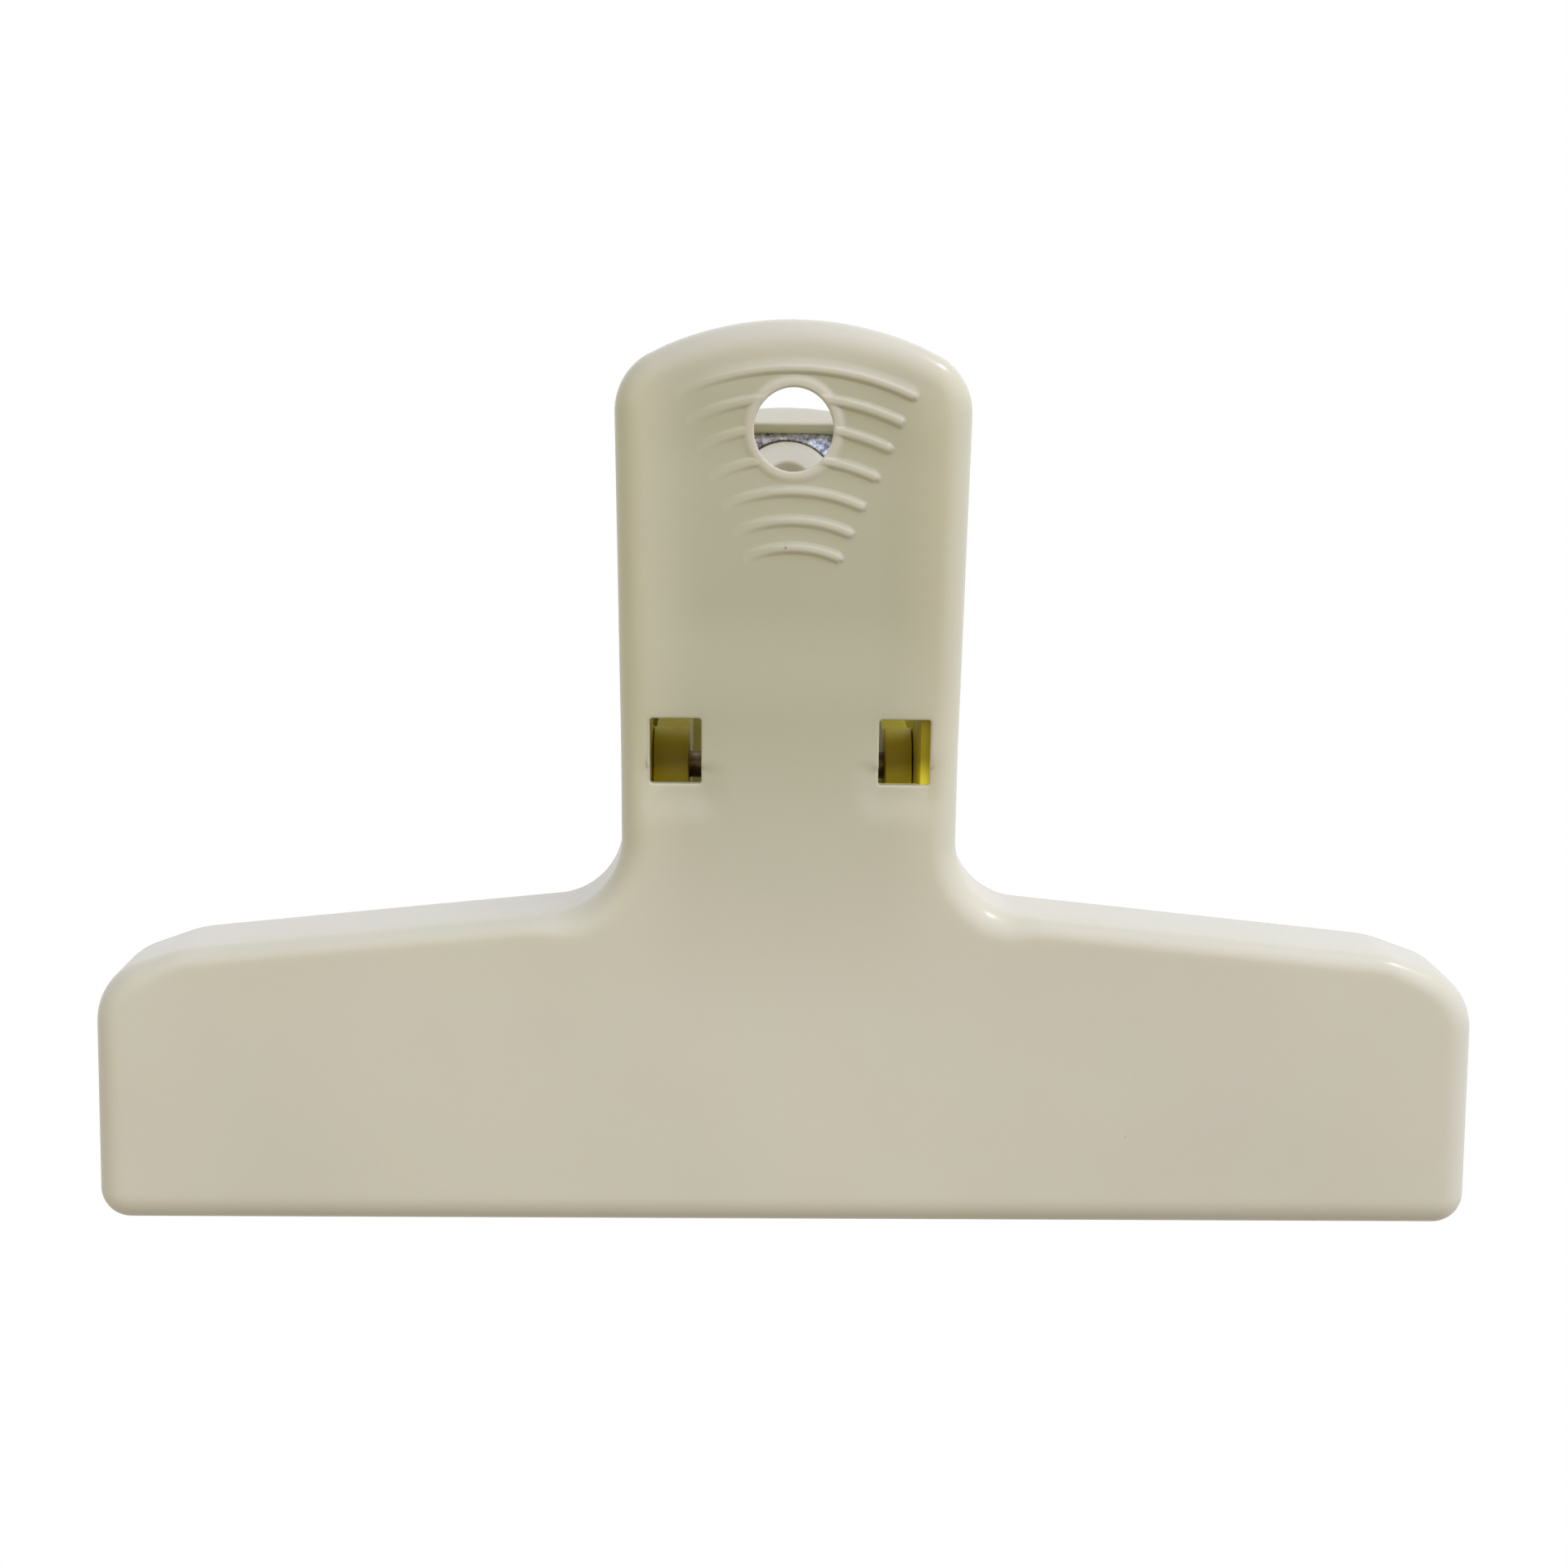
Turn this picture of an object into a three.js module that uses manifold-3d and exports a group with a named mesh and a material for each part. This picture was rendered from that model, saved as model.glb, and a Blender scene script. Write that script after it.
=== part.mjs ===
// Magnetic spring clip: two moulded trays (jaw and handle in one) hinged on a steel pin,
// closed by a torsion spring, with a magnet and its steel plate inside the rear handle.
// Millimetres, +Z up, +X to the right seen from the front, front half on the -Y side.
// The closed jaws meet on the plane y = 0. The origin is under the middle of the jaw.

import * as THREE from 'three';
import * as BufferGeometryUtils from 'three/addons/utils/BufferGeometryUtils.js';
import Module from 'manifold-3d';

const wasm = await Module();
wasm.setup();

// ---------------------------------------------------------------- driving dimensions
const JAW_HALF = 76.2;          // half of the 152.4 mm (6 in) wide jaw
const JAW_BOTTOM = -0.572;     // lower edge of the outline on the face
const SHOULDER_X = 25.9;        // where the straight shoulder starts
const SHOULDER_Z = 34.1;        // its height there
const SHOULDER_SLOPE = 0.1;     // fall of the shoulder towards the ends
const CORNER_Z = 26.7;          // upper end corners: an oblique edge between two roundings,
const CORNER_LOW_R = 7.4;       // from this height on the end
const CORNER_X = 65.85;         // to this place on the shoulder
const CORNER_TOP_R = 12.0;
const JAW_LOW_R = 3.5;          // lower end corners
const NECK_R = 7.85;            // fillet between shoulder and handle
const HANDLE_HALF_LOW = 18.45;  // half width of the handle at the neck
const HANDLE_HALF_TOP = 18.82;  // and below the crown
const HANDLE_TOP = 94.87;       // height of the crown on the face
const CROWN_R = 35.3;
const CROWN_CORNER_R = 6.6;

const WALL = 2.0;               // moulded wall
const RIM_DEPTH = 9.0;          // depth of the rim behind the handle face
const EDGE_R = 2.8;             // rounding between face and rim
const LIP_Y = 4.3;              // depth of the closed front jaw at z = 0
const JAW_LEAN = 0.20;          // jaw face: depth gained per mm of height
const HANDLE_LEAN = 0.31;       // handle face: the same
const BEND_Z = 51.0;            // the face bends here, at the hinge
const PULL = 12 * Math.PI / 180; // the rims run back and up at this angle
const MATE_GAP = 0.15;          // half of the gap between the closed halves

const HINGE_Z = 51.0;
const PIN_R = 1.5;
const PIN_BORE_R = 1.8;
const PIN_HALF = 18.0;
const EAR_R = 4.4;              // round end of the front ears and ribs
const LUG_R = 4.2;              // round end of the rear lugs

const WINDOW_IN = 9.47;         // windows: inner and outer edge, bottom and top
const WINDOW_OUT = 14.96;
const WINDOW_LOW = 48.05;
const WINDOW_HIGH = 54.95;

const HOLE_Z = 83.95;           // hanging hole of the front half
const HOLE_R = 4.1;
const HOLE_RING_R = 5.1;
const RIDGE_R = [29.9, 27.1, 24.3, 21.2, 18.0, 15.1, 12.4]; // grip ridges about one centre
const RIDGE_CENTRE_Z = 59.95;
const RIDGE_HALF_W = 0.42;
const RIDGE_ANGLE = 24.7 * Math.PI / 180;
const RIDGE_H = 0.4;
const RING_H = 0.5;             // raised ring about the front hole

const BOSS_Z = 85.35;           // hanging hole of the rear half, through its boss
const BOSS_R = 5.95;            // tubular boss of the rear half
const BOSS_BORE_R = 3.1;
const BOSS_DEPTH = 6.9;
const MAGNET_LOW = 70.6;        // lower edge of magnet and plate
const MAGNET_T = [2.35, 5.15];  // depth behind the rear face
const PLATE_T = [5.5, 6.7];
const PLATE_INSET = 2.3;
const PLATE_TOP = 92.4;         // their upper edge is cut straight
const PLATE_HOLE_R = 6.3;
const PAD_H = 0.6;              // flat pad outside the magnet

const WIRE_R = 0.8;
const COIL_R = 3.6;
const COIL_TURNS = 5;
const COIL_PITCH = 2.05;
const LEG_TIP = [16.0, 66.5];   // depth and height of the leg ends

// ---------------------------------------------------------------- outline of one half
// Rounds the corners of a polygon. Each corner is [x, z, radius, steps].
function roundedPolygon(corners) {
  const out = [];
  const n = corners.length;
  for (let i = 0; i < n; i++) {
    const [px, pz] = corners[(i + n - 1) % n];
    const [cx, cz, r, steps] = corners[i];
    const [nx, nz] = corners[(i + 1) % n];
    if (!r) { out.push(new THREE.Vector2(cx, cz)); continue; }
    const c = new THREE.Vector2(cx, cz);
    const a = new THREE.Vector2(px, pz).sub(c).normalize();
    const b = new THREE.Vector2(nx, nz).sub(c).normalize();
    const half = Math.acos(THREE.MathUtils.clamp(a.dot(b), -1, 1)) / 2;
    const reach = r / Math.tan(half);
    const centre = c.clone().addScaledVector(a.clone().add(b).normalize(), r / Math.sin(half));
    const p0 = c.clone().addScaledVector(a, reach).sub(centre);
    const p1 = c.clone().addScaledVector(b, reach).sub(centre);
    const a0 = Math.atan2(p0.y, p0.x);
    let da = Math.atan2(p1.y, p1.x) - a0;
    while (da > Math.PI) da -= 2 * Math.PI;
    while (da < -Math.PI) da += 2 * Math.PI;
    for (let k = 0; k <= steps; k++) {
      const t = a0 + da * k / steps;
      out.push(new THREE.Vector2(centre.x + r * Math.cos(t), centre.y + r * Math.sin(t)));
    }
  }
  return out;
}

function outline() {
  const shoulder = (x) => SHOULDER_Z + SHOULDER_SLOPE * (SHOULDER_X - x);
  const crown = (x) => HANDLE_TOP - CROWN_R + Math.sqrt(CROWN_R * CROWN_R - x * x);
  const right = [
    [JAW_HALF, JAW_BOTTOM, JAW_LOW_R, 4],
    [JAW_HALF, CORNER_Z, CORNER_LOW_R, 4],
    [CORNER_X, shoulder(CORNER_X), CORNER_TOP_R, 4],
    [HANDLE_HALF_LOW, shoulder(HANDLE_HALF_LOW), NECK_R, 6],
    [HANDLE_HALF_LOW, BEND_Z, 0, 0],
    [HANDLE_HALF_TOP, crown(HANDLE_HALF_TOP - 0.6) - 0.1, CROWN_CORNER_R, 5],
  ];
  const pts = right.concat([]);
  for (const x of [13, 9, 4.5, 0, -4.5, -9, -13]) pts.push([x, crown(x), 0, 0]);
  for (const [x, z, r, s] of right.slice().reverse()) pts.push([-x, z, r, s]);
  return roundedPolygon(pts);
}

// Moves every point of a counter-clockwise outline inwards along its normal.
function inset(points, d) {
  const n = points.length;
  return points.map((p, i) => {
    const a = points[(i + n - 1) % n];
    const b = points[(i + 1) % n];
    const e0 = p.clone().sub(a).normalize();
    const e1 = b.clone().sub(p).normalize();
    const n0 = new THREE.Vector2(-e0.y, e0.x);
    const n1 = new THREE.Vector2(-e1.y, e1.x);
    const m = n0.add(n1).normalize();
    const k = d / Math.max(0.5, m.dot(n1));
    return p.clone().addScaledVector(m, k);
  });
}

// ---------------------------------------------------------------- solids
function solid(geometry) {
  let g = geometry.clone();
  g.deleteAttribute('normal');
  g.deleteAttribute('uv');
  g = BufferGeometryUtils.mergeVertices(g, 1e-4);
  const mesh = new wasm.Mesh({
    numProp: 3,
    vertProperties: new Float32Array(g.attributes.position.array),
    triVerts: new Uint32Array(g.index.array),
  });
  mesh.merge();
  return new wasm.Manifold(mesh);
}

function flip(geometry) {
  const i = geometry.index.array;
  for (let k = 0; k < i.length; k += 3) { const t = i[k]; i[k] = i[k + 1]; i[k + 1] = t; }
  return geometry;
}

function geometryOf(manifold) {
  const m = manifold.getMesh();
  const g = new THREE.BufferGeometry();
  g.setAttribute('position', new THREE.BufferAttribute(new Float32Array(m.vertProperties), 3));
  g.setIndex(new THREE.BufferAttribute(new Uint32Array(m.triVerts), 1));
  return g;
}

function indexed(geometry) {
  let g = geometry.clone();
  g.deleteAttribute('normal');
  g.deleteAttribute('uv');
  return BufferGeometryUtils.mergeVertices(g, 1e-4);
}

// A plate drawn on the face (x to the right, z up it) and thickened from depth t0 to t1.
function onFace(points, t0, t1, bevel = 0, holes = []) {
  const shape = new THREE.Shape(points);
  for (const h of holes) shape.holes.push(new THREE.Path(h));
  const g = new THREE.ExtrudeGeometry(shape, bevel
    ? { depth: t1 - t0 - 2 * bevel, bevelEnabled: true, bevelThickness: bevel, bevelSize: bevel, bevelOffset: -bevel, bevelSegments: 4, steps: 1, curveSegments: 1 }
    : { depth: t1 - t0, bevelEnabled: false, steps: 1, curveSegments: 1 });
  g.translate(0, 0, t0 + bevel);
  return g;
}

function circle(x, z, r, n) {
  const p = [];
  for (let k = 0; k < n; k++) {
    const a = 2 * Math.PI * k / n;
    p.push(new THREE.Vector2(x + r * Math.cos(a), z + r * Math.sin(a)));
  }
  return p;
}

function rect(x0, x1, z0, z1) {
  return [new THREE.Vector2(x0, z0), new THREE.Vector2(x1, z0), new THREE.Vector2(x1, z1), new THREE.Vector2(x0, z1)];
}

// From face coordinates (x, z0, t) to the front half: the depth runs back and up at PULL.
const jawMap = new THREE.Matrix4().set(
  1, 0, 0, 0,
  0, -JAW_LEAN, Math.cos(PULL), -LIP_Y,
  0, 1, Math.sin(PULL), 0,
  0, 0, 0, 1);
const bendY = LIP_Y + JAW_LEAN * BEND_Z;
const handleMap = new THREE.Matrix4().set(
  1, 0, 0, 0,
  0, -HANDLE_LEAN, Math.cos(PULL), -bendY + HANDLE_LEAN * BEND_Z,
  0, 1, Math.sin(PULL), 0,
  0, 0, 0, 1);

function mapped(manifold, matrix) {
  const g = geometryOf(manifold);
  g.applyMatrix4(matrix);
  return solid(flip(g));
}

function box(x0, x1, y0, y1, z0, z1) {
  const g = new THREE.BoxGeometry(x1 - x0, y1 - y0, z1 - z0);
  g.translate((x0 + x1) / 2, (y0 + y1) / 2, (z0 + z1) / 2);
  return solid(g);
}

// A side profile (depth y, height z) given a thickness from x0 to x1.
function acrossX(profile, x0, x1) {
  const shape = new THREE.Shape(profile.map(([y, z]) => new THREE.Vector2(y, z)));
  const g = new THREE.ExtrudeGeometry(shape, { depth: x1 - x0, bevelEnabled: false, steps: 1, curveSegments: 1 });
  const m = new THREE.Matrix4().set(
    0, 0, 1, x0,
    1, 0, 0, 0,
    0, 1, 0, 0,
    0, 0, 0, 1);
  g.applyMatrix4(m);
  return solid(g);
}

function axleHole(r, x0, x1, n = 20) {
  const p = [];
  for (let k = 0; k < n; k++) {
    const a = 2 * Math.PI * (k + 0.5) / n;
    p.push([r * Math.cos(a), HINGE_Z + r * Math.sin(a)]);
  }
  return acrossX(p, x0, x1);
}

const OUTLINE = outline();
const INNER = inset(OUTLINE, WALL);
const CUT = 0.1;

// One tray: outer skin less its hollow, both bent at the hinge line.
function tray() {
  const below = solid(onFace(rect(-90, 90, -10, BEND_Z + CUT), -5, 60));
  const above = solid(onFace(rect(-90, 90, BEND_Z - CUT, 110), -5, 60));
  const skin = solid(onFace(OUTLINE, 0, 30, EDGE_R));
  const hollow = solid(onFace(INNER, WALL, 40));
  const outer = mapped(skin.intersect(below), jawMap).add(mapped(skin.intersect(above), handleMap));
  const inner = mapped(hollow.intersect(below), jawMap).add(mapped(hollow.intersect(above), handleMap));
  // rim line seen from the side
  const rimY = (z0) => -(bendY + HANDLE_LEAN * (z0 - BEND_Z)) + RIM_DEPTH * Math.cos(PULL);
  const rimZ = (z0) => z0 + RIM_DEPTH * Math.sin(PULL);
  const keep = acrossX([
    [-60, -6], [-MATE_GAP, -6], [-MATE_GAP, 35],
    [rimY(BEND_Z), rimZ(BEND_Z)], [rimY(100), rimZ(100)], [-60, rimZ(100)],
  ], -90, 90);
  return outer.subtract(inner).intersect(keep);
}

function roundEnd(r, from, to, n = 14) {
  const p = [];
  for (let k = 0; k <= n; k++) {
    const a = from + (to - from) * k / n;
    p.push([r * Math.cos(a), HINGE_Z + r * Math.sin(a)]);
  }
  return p;
}

// Gusset from the inside of the front wall to a round end about the pin.
function ear(r, x0, x1) {
  const deg = Math.PI / 180;
  const profile = [[-11.5, 42.5]]
    .concat(roundEnd(r, -115 * deg, 112 * deg))
    .concat([[-15.2, 59.5], [-13.2, 51.0]]);
  return acrossX(profile, x0, x1);
}

function mirrorY(manifold) {
  const g = geometryOf(manifold);
  g.applyMatrix4(new THREE.Matrix4().makeScale(1, -1, 1));
  return solid(flip(g));
}

function handlePiece(points, t0, t1, bevel = 0, holes = []) {
  return mapped(solid(onFace(points, t0, t1, bevel, holes)), handleMap);
}

function windows(m) {
  for (const s of [-1, 1]) {
    const x0 = Math.min(s * WINDOW_IN, s * WINDOW_OUT);
    const x1 = Math.max(s * WINDOW_IN, s * WINDOW_OUT);
    m = m.subtract(box(x0, x1, -22, -11.0, WINDOW_LOW, WINDOW_HIGH));
  }
  return m;
}

// Arc band with round ends, about the ridges' common centre.
function ridge(r) {
  const p = [];
  const n = 12;
  const a0 = Math.PI / 2 - RIDGE_ANGLE, a1 = Math.PI / 2 + RIDGE_ANGLE;
  for (let k = 0; k <= n; k++) {
    const a = a0 + (a1 - a0) * k / n;
    p.push(new THREE.Vector2((r + RIDGE_HALF_W) * Math.cos(a), RIDGE_CENTRE_Z + (r + RIDGE_HALF_W) * Math.sin(a)));
  }
  for (let k = n; k >= 0; k--) {
    const a = a0 + (a1 - a0) * k / n;
    p.push(new THREE.Vector2((r - RIDGE_HALF_W) * Math.cos(a), RIDGE_CENTRE_Z + (r - RIDGE_HALF_W) * Math.sin(a)));
  }
  return p;
}

// ---------------------------------------------------------------- front half
function frontShell() {
  let m = tray();
  m = windows(m);
  for (const s of [-1, 1]) {
    const rib = s > 0 ? [7.2, 9.2] : [-9.2, -7.2];
    const side = s > 0 ? [14.0, 18.35] : [-18.35, -15.2];
    m = m.add(ear(EAR_R, ...rib)).add(ear(EAR_R, ...side));
  }
  m = m.add(handlePiece(circle(0, HOLE_Z, HOLE_RING_R, 28), -RING_H, 1.0));
  for (const r of RIDGE_R) m = m.add(handlePiece(ridge(r), -RIDGE_H, 0.9));
  m = m.subtract(handlePiece(circle(0, HOLE_Z, HOLE_R, 28), -6, 8));
  m = m.subtract(axleHole(PIN_BORE_R, -30, 30));
  return m;
}

// ---------------------------------------------------------------- rear half
function rearShell() {
  let m = tray();
  m = m.add(ear(LUG_R, -13.6, -10.6)).add(ear(LUG_R, 11.2, 15.0));
  m = m.add(handlePiece(roundedPolygon([
    [15, 67.5, 3, 4], [15, 89.8, 7, 4], [-15, 89.8, 7, 4], [-15, 67.5, 3, 4],
  ]), -PAD_H, 1.0));
  m = m.add(handlePiece(circle(0, BOSS_Z, BOSS_R, 28), 1.0, BOSS_DEPTH));
  m = m.subtract(handlePiece(circle(0, BOSS_Z, BOSS_BORE_R, 24), -6, 12));
  m = m.subtract(axleHole(PIN_BORE_R, -30, 30));
  // the rear half faces the other way: turned half a turn about Z
  const g = geometryOf(m);
  g.applyMatrix4(new THREE.Matrix4().makeRotationZ(Math.PI));
  return solid(g);
}

function rearPiece(points, t0, t1, holes) {
  const g = geometryOf(handlePiece(points, t0, t1, 0, holes));
  g.applyMatrix4(new THREE.Matrix4().makeRotationZ(Math.PI));
  return g;
}

function insideHandle(d) {
  const p = inset(OUTLINE, d).filter((v) => v.y > MAGNET_LOW + 3);
  const low = p.reduce((a, v) => Math.max(a, Math.abs(v.x)), 0);
  const top = p.filter((v) => Math.abs(v.x) < low + 1);
  top.sort((a, b) => b.x - a.x || a.y - b.y);
  const half = top[0].x;
  for (const v of top) v.y = Math.min(v.y, PLATE_TOP);
  return [new THREE.Vector2(-half, MAGNET_LOW), new THREE.Vector2(half, MAGNET_LOW)].concat(top);
}

// ---------------------------------------------------------------- spring
function springGeometry() {
  const [ty, tz] = LEG_TIP;
  // direction of the front leg leaving the coil, found by a short iteration
  let dir = new THREE.Vector2(-ty, tz - HINGE_Z).normalize();
  for (let k = 0; k < 20; k++) {
    const start = new THREE.Vector2(-dir.y, dir.x).multiplyScalar(COIL_R); // (-dz, dy)
    dir = new THREE.Vector2(-ty - start.x, tz - HINGE_Z - start.y).normalize();
  }
  const start = new THREE.Vector2(-dir.y, dir.x).multiplyScalar(COIL_R);
  const phi0 = Math.atan2(start.y, start.x) + 2 * Math.PI;
  const phi1 = 3 * Math.PI - phi0 + 2 * Math.PI * COIL_TURNS + 0;
  const turns = (phi1 - phi0) / (2 * Math.PI);
  const span = turns * COIL_PITCH;
  const pts = [];
  const legN = 4;
  for (let k = 0; k < legN; k++) {
    const t = k / legN;
    pts.push(new THREE.Vector3(-span / 2, THREE.MathUtils.lerp(-ty, start.x, t), THREE.MathUtils.lerp(tz, HINGE_Z + start.y, t)));
  }
  const n = Math.round(turns * 14);
  for (let k = 0; k <= n; k++) {
    const a = phi0 + (phi1 - phi0) * k / n;
    pts.push(new THREE.Vector3(-span / 2 + span * k / n, COIL_R * Math.cos(a), HINGE_Z + COIL_R * Math.sin(a)));
  }
  const last = pts[pts.length - 1];
  for (let k = 1; k <= legN; k++) {
    const t = k / legN;
    pts.push(new THREE.Vector3(span / 2, THREE.MathUtils.lerp(last.y, ty, t), THREE.MathUtils.lerp(last.z, tz, t)));
  }
  const curve = new THREE.CatmullRomCurve3(pts, false, 'centripetal');
  const section = new THREE.Shape(circle(0, 0, WIRE_R, 8));
  const g = new THREE.ExtrudeGeometry(section, { steps: n + 2 * legN + 6, bevelEnabled: false, extrudePath: curve });
  return indexed(g);
}

function pinGeometry() {
  const n = 20;
  const c = 0.3;
  const profile = [[0, -PIN_HALF], [PIN_R - c, -PIN_HALF], [PIN_R, -PIN_HALF + c], [PIN_R, PIN_HALF - c], [PIN_R - c, PIN_HALF], [0, PIN_HALF]];
  const g = new THREE.LatheGeometry(profile.map(([r, h]) => new THREE.Vector2(r, h)), n);
  g.rotateZ(-Math.PI / 2);
  return solid(g);
}

// ---------------------------------------------------------------- materials and assembly
const ivory = (name) => new THREE.MeshStandardMaterial({ name, color: 0xcfc8b4, roughness: 0.38, metalness: 0 });
const steel = (name, color, roughness) => new THREE.MeshStandardMaterial({ name, color, roughness, metalness: 1 });

function node(name, geometry, material) {
  geometry.computeVertexNormals();
  const m = new THREE.Mesh(geometry, material);
  m.name = name;
  return m;
}

const clip = new THREE.Group();
clip.name = 'magnetic_clip';

const front = new THREE.Group();
front.name = 'front_half';
front.add(node('front_shell', geometryOf(frontShell()), ivory('front_plastic')));
clip.add(front);

const rear = new THREE.Group();
rear.name = 'rear_half';
rear.add(node('rear_shell', geometryOf(rearShell()), ivory('rear_plastic')));
const plateHole = [circle(0, BOSS_Z, PLATE_HOLE_R, 28).reverse()];
rear.add(node('magnet_block', rearPiece(insideHandle(PLATE_INSET), MAGNET_T[0], MAGNET_T[1], plateHole),
  new THREE.MeshStandardMaterial({ name: 'ferrite', color: 0x2b2b2d, roughness: 0.7, metalness: 0.1 })));
rear.add(node('keeper_plate', rearPiece(insideHandle(PLATE_INSET), PLATE_T[0], PLATE_T[1], plateHole),
  steel('zinc_plate', 0xaeb2b8, 0.35)));
rear.add(node('hinge_pin', geometryOf(pinGeometry().translate([0, 0, HINGE_Z])), steel('pin_steel', 0xb9bbbd, 0.3)));
rear.add(node('torsion_spring', springGeometry(), steel('spring_steel', 0x9a9c9e, 0.35)));
clip.add(rear);

export default clip;
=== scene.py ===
import math

import bmesh
import bpy
import numpy as np
from mathutils import Matrix, Vector
from mathutils.geometry import delaunay_2d_cdt


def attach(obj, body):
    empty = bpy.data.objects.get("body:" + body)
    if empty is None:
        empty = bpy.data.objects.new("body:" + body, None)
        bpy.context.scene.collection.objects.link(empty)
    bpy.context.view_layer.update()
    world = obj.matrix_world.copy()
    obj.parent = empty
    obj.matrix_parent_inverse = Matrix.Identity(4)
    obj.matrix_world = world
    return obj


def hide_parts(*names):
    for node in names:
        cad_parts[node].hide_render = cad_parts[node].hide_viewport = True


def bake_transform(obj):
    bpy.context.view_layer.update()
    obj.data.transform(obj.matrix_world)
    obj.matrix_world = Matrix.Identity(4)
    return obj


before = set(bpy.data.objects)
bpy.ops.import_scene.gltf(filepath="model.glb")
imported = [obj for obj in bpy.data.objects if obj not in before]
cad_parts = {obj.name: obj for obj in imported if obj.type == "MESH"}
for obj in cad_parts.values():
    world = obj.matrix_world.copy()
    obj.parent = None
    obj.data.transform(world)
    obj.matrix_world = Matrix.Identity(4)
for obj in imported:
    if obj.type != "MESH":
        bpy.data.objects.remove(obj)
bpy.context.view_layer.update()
MM = 0.001

# ------------------------------------------------------------------ camera
# Fitted to the outline of the object: 222 mm in front of the closed jaws.
EYE = (-3.72, -222.35, 39.32)
FOCAL = 2406.5          # in pixels of the 1932 pixel frame
YAW, PITCH, ROLL = math.radians(0.853), math.radians(2.434), math.radians(0.398)


def make_camera():
    cy, sy = math.cos(YAW), math.sin(YAW)
    cp, sp = math.cos(PITCH), math.sin(PITCH)
    f = Vector((sy * cp, cy * cp, sp))
    r = Vector((cy, -sy, 0.0))
    u = r.cross(f)
    c, s = math.cos(ROLL), math.sin(ROLL)
    r2 = r * c + u * s
    u2 = u * c - r * s
    m = Matrix(((r2.x, u2.x, -f.x, EYE[0] * MM), (r2.y, u2.y, -f.y, EYE[1] * MM), (r2.z, u2.z, -f.z, EYE[2] * MM), (0, 0, 0, 1)))
    data = bpy.data.cameras.new("camera")
    data.sensor_fit = "HORIZONTAL"
    data.sensor_width = 36.0
    data.lens = 36.0 * FOCAL / 1932.0
    data.clip_start = 0.01
    data.clip_end = 50.0
    cam = bpy.data.objects.new("camera", data)
    cam.matrix_world = m
    bpy.context.collection.objects.link(cam)
    bpy.context.scene.camera = cam


# ------------------------------------------------------------------ sizes, mm
JAW_HALF, JAW_BOTTOM = 76.2, -0.60
SHOULDER_X, SHOULDER_Z, SHOULDER_SLOPE = 25.9, 34.1, 0.1
CORNER_Z, CORNER_LOW_R, CORNER_X, CORNER_TOP_R = 26.7, 7.4, 65.85, 12.0
JAW_LOW_R, NECK_R = 3.5, 7.85
HALF_LOW, HALF_TOP = 18.45, 18.82
HANDLE_TOP, CROWN_R, CROWN_CORNER_R = 94.87, 35.3, 6.6
EDGE_R = 3.0
WALL, RIM = 2.0, 9.0
LIP_Y, LEAN_JAW, LEAN_HANDLE, BEND_Z = 4.3, 0.20, 0.31, 51.0
BEND_W = 7.0
PULL = math.radians(12.0)
CP, SP = math.cos(PULL), math.sin(PULL)
HINGE_Z = 51.0
WIN = (9.47, 14.96, 48.05, 54.95)
HOLE_Z, HOLE_R = 83.95, 4.1
RIDGE_R = (29.9, 27.1, 24.3, 21.2, 18.0, 15.1, 12.4)
RIDGE_Z = 59.95
RIDGE_ANGLE = math.radians(24.7)
BOSS_Z, BOSS_R, BORE_R, BOSS_T = 85.35, 5.95, 2.9, 6.9


def smooth(e0, e1, x):
    t = np.clip((np.asarray(x, float) - e0) / (e1 - e0), 0, 1)
    return t * t * (3 - 2 * t)


def depth_of(z):
    """Distance of the outer face from the mid plane; the bend at the hinge is soft."""
    z = np.asarray(z, float)
    a = z - BEND_Z
    extra = np.where(a <= -BEND_W, 0.0, np.where(a >= BEND_W, a, (a + BEND_W) ** 2 / (4 * BEND_W)))
    return LIP_Y + LEAN_JAW * z + (LEAN_HANDLE - LEAN_JAW) * extra


def to_world(x, z0, t):
    """From the face (x, z up the face, t into the wall) to the front half, mm."""
    return np.stack([x, -depth_of(z0) + t * CP, z0 + t * SP], -1)


def rounded(corners, arc=0.5):
    out = []
    n = len(corners)
    for i in range(n):
        cx, cz, r = corners[i]
        c = np.array((cx, cz), float)
        if not r:
            out.append(c)
            continue
        a = np.array(corners[i - 1][:2], float) - c
        b = np.array(corners[(i + 1) % n][:2], float) - c
        a /= np.linalg.norm(a)
        b /= np.linalg.norm(b)
        half = math.acos(max(-1.0, min(1.0, float(a @ b)))) / 2
        reach = r / math.tan(half)
        m = a + b
        m /= np.linalg.norm(m)
        o = c + m * r / math.sin(half)
        p0, p1 = c + a * reach - o, c + b * reach - o
        a0 = math.atan2(p0[1], p0[0])
        da = math.atan2(p1[1], p1[0]) - a0
        while da > math.pi:
            da -= 2 * math.pi
        while da < -math.pi:
            da += 2 * math.pi
        steps = max(4, int(round(abs(da) * r / arc)))
        for k in range(steps + 1):
            t = a0 + da * k / steps
            out.append(o + r * np.array((math.cos(t), math.sin(t))))
    return np.array(out)


def spaced(points, step):
    """Adds points on the long edges of a closed outline."""
    out = []
    n = len(points)
    for i in range(n):
        a, b = points[i], points[(i + 1) % n]
        d = np.linalg.norm(b - a)
        k = max(1, int(math.ceil(d / step)))
        for j in range(k):
            out.append(a + (b - a) * j / k)
    return np.array(out)


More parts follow.
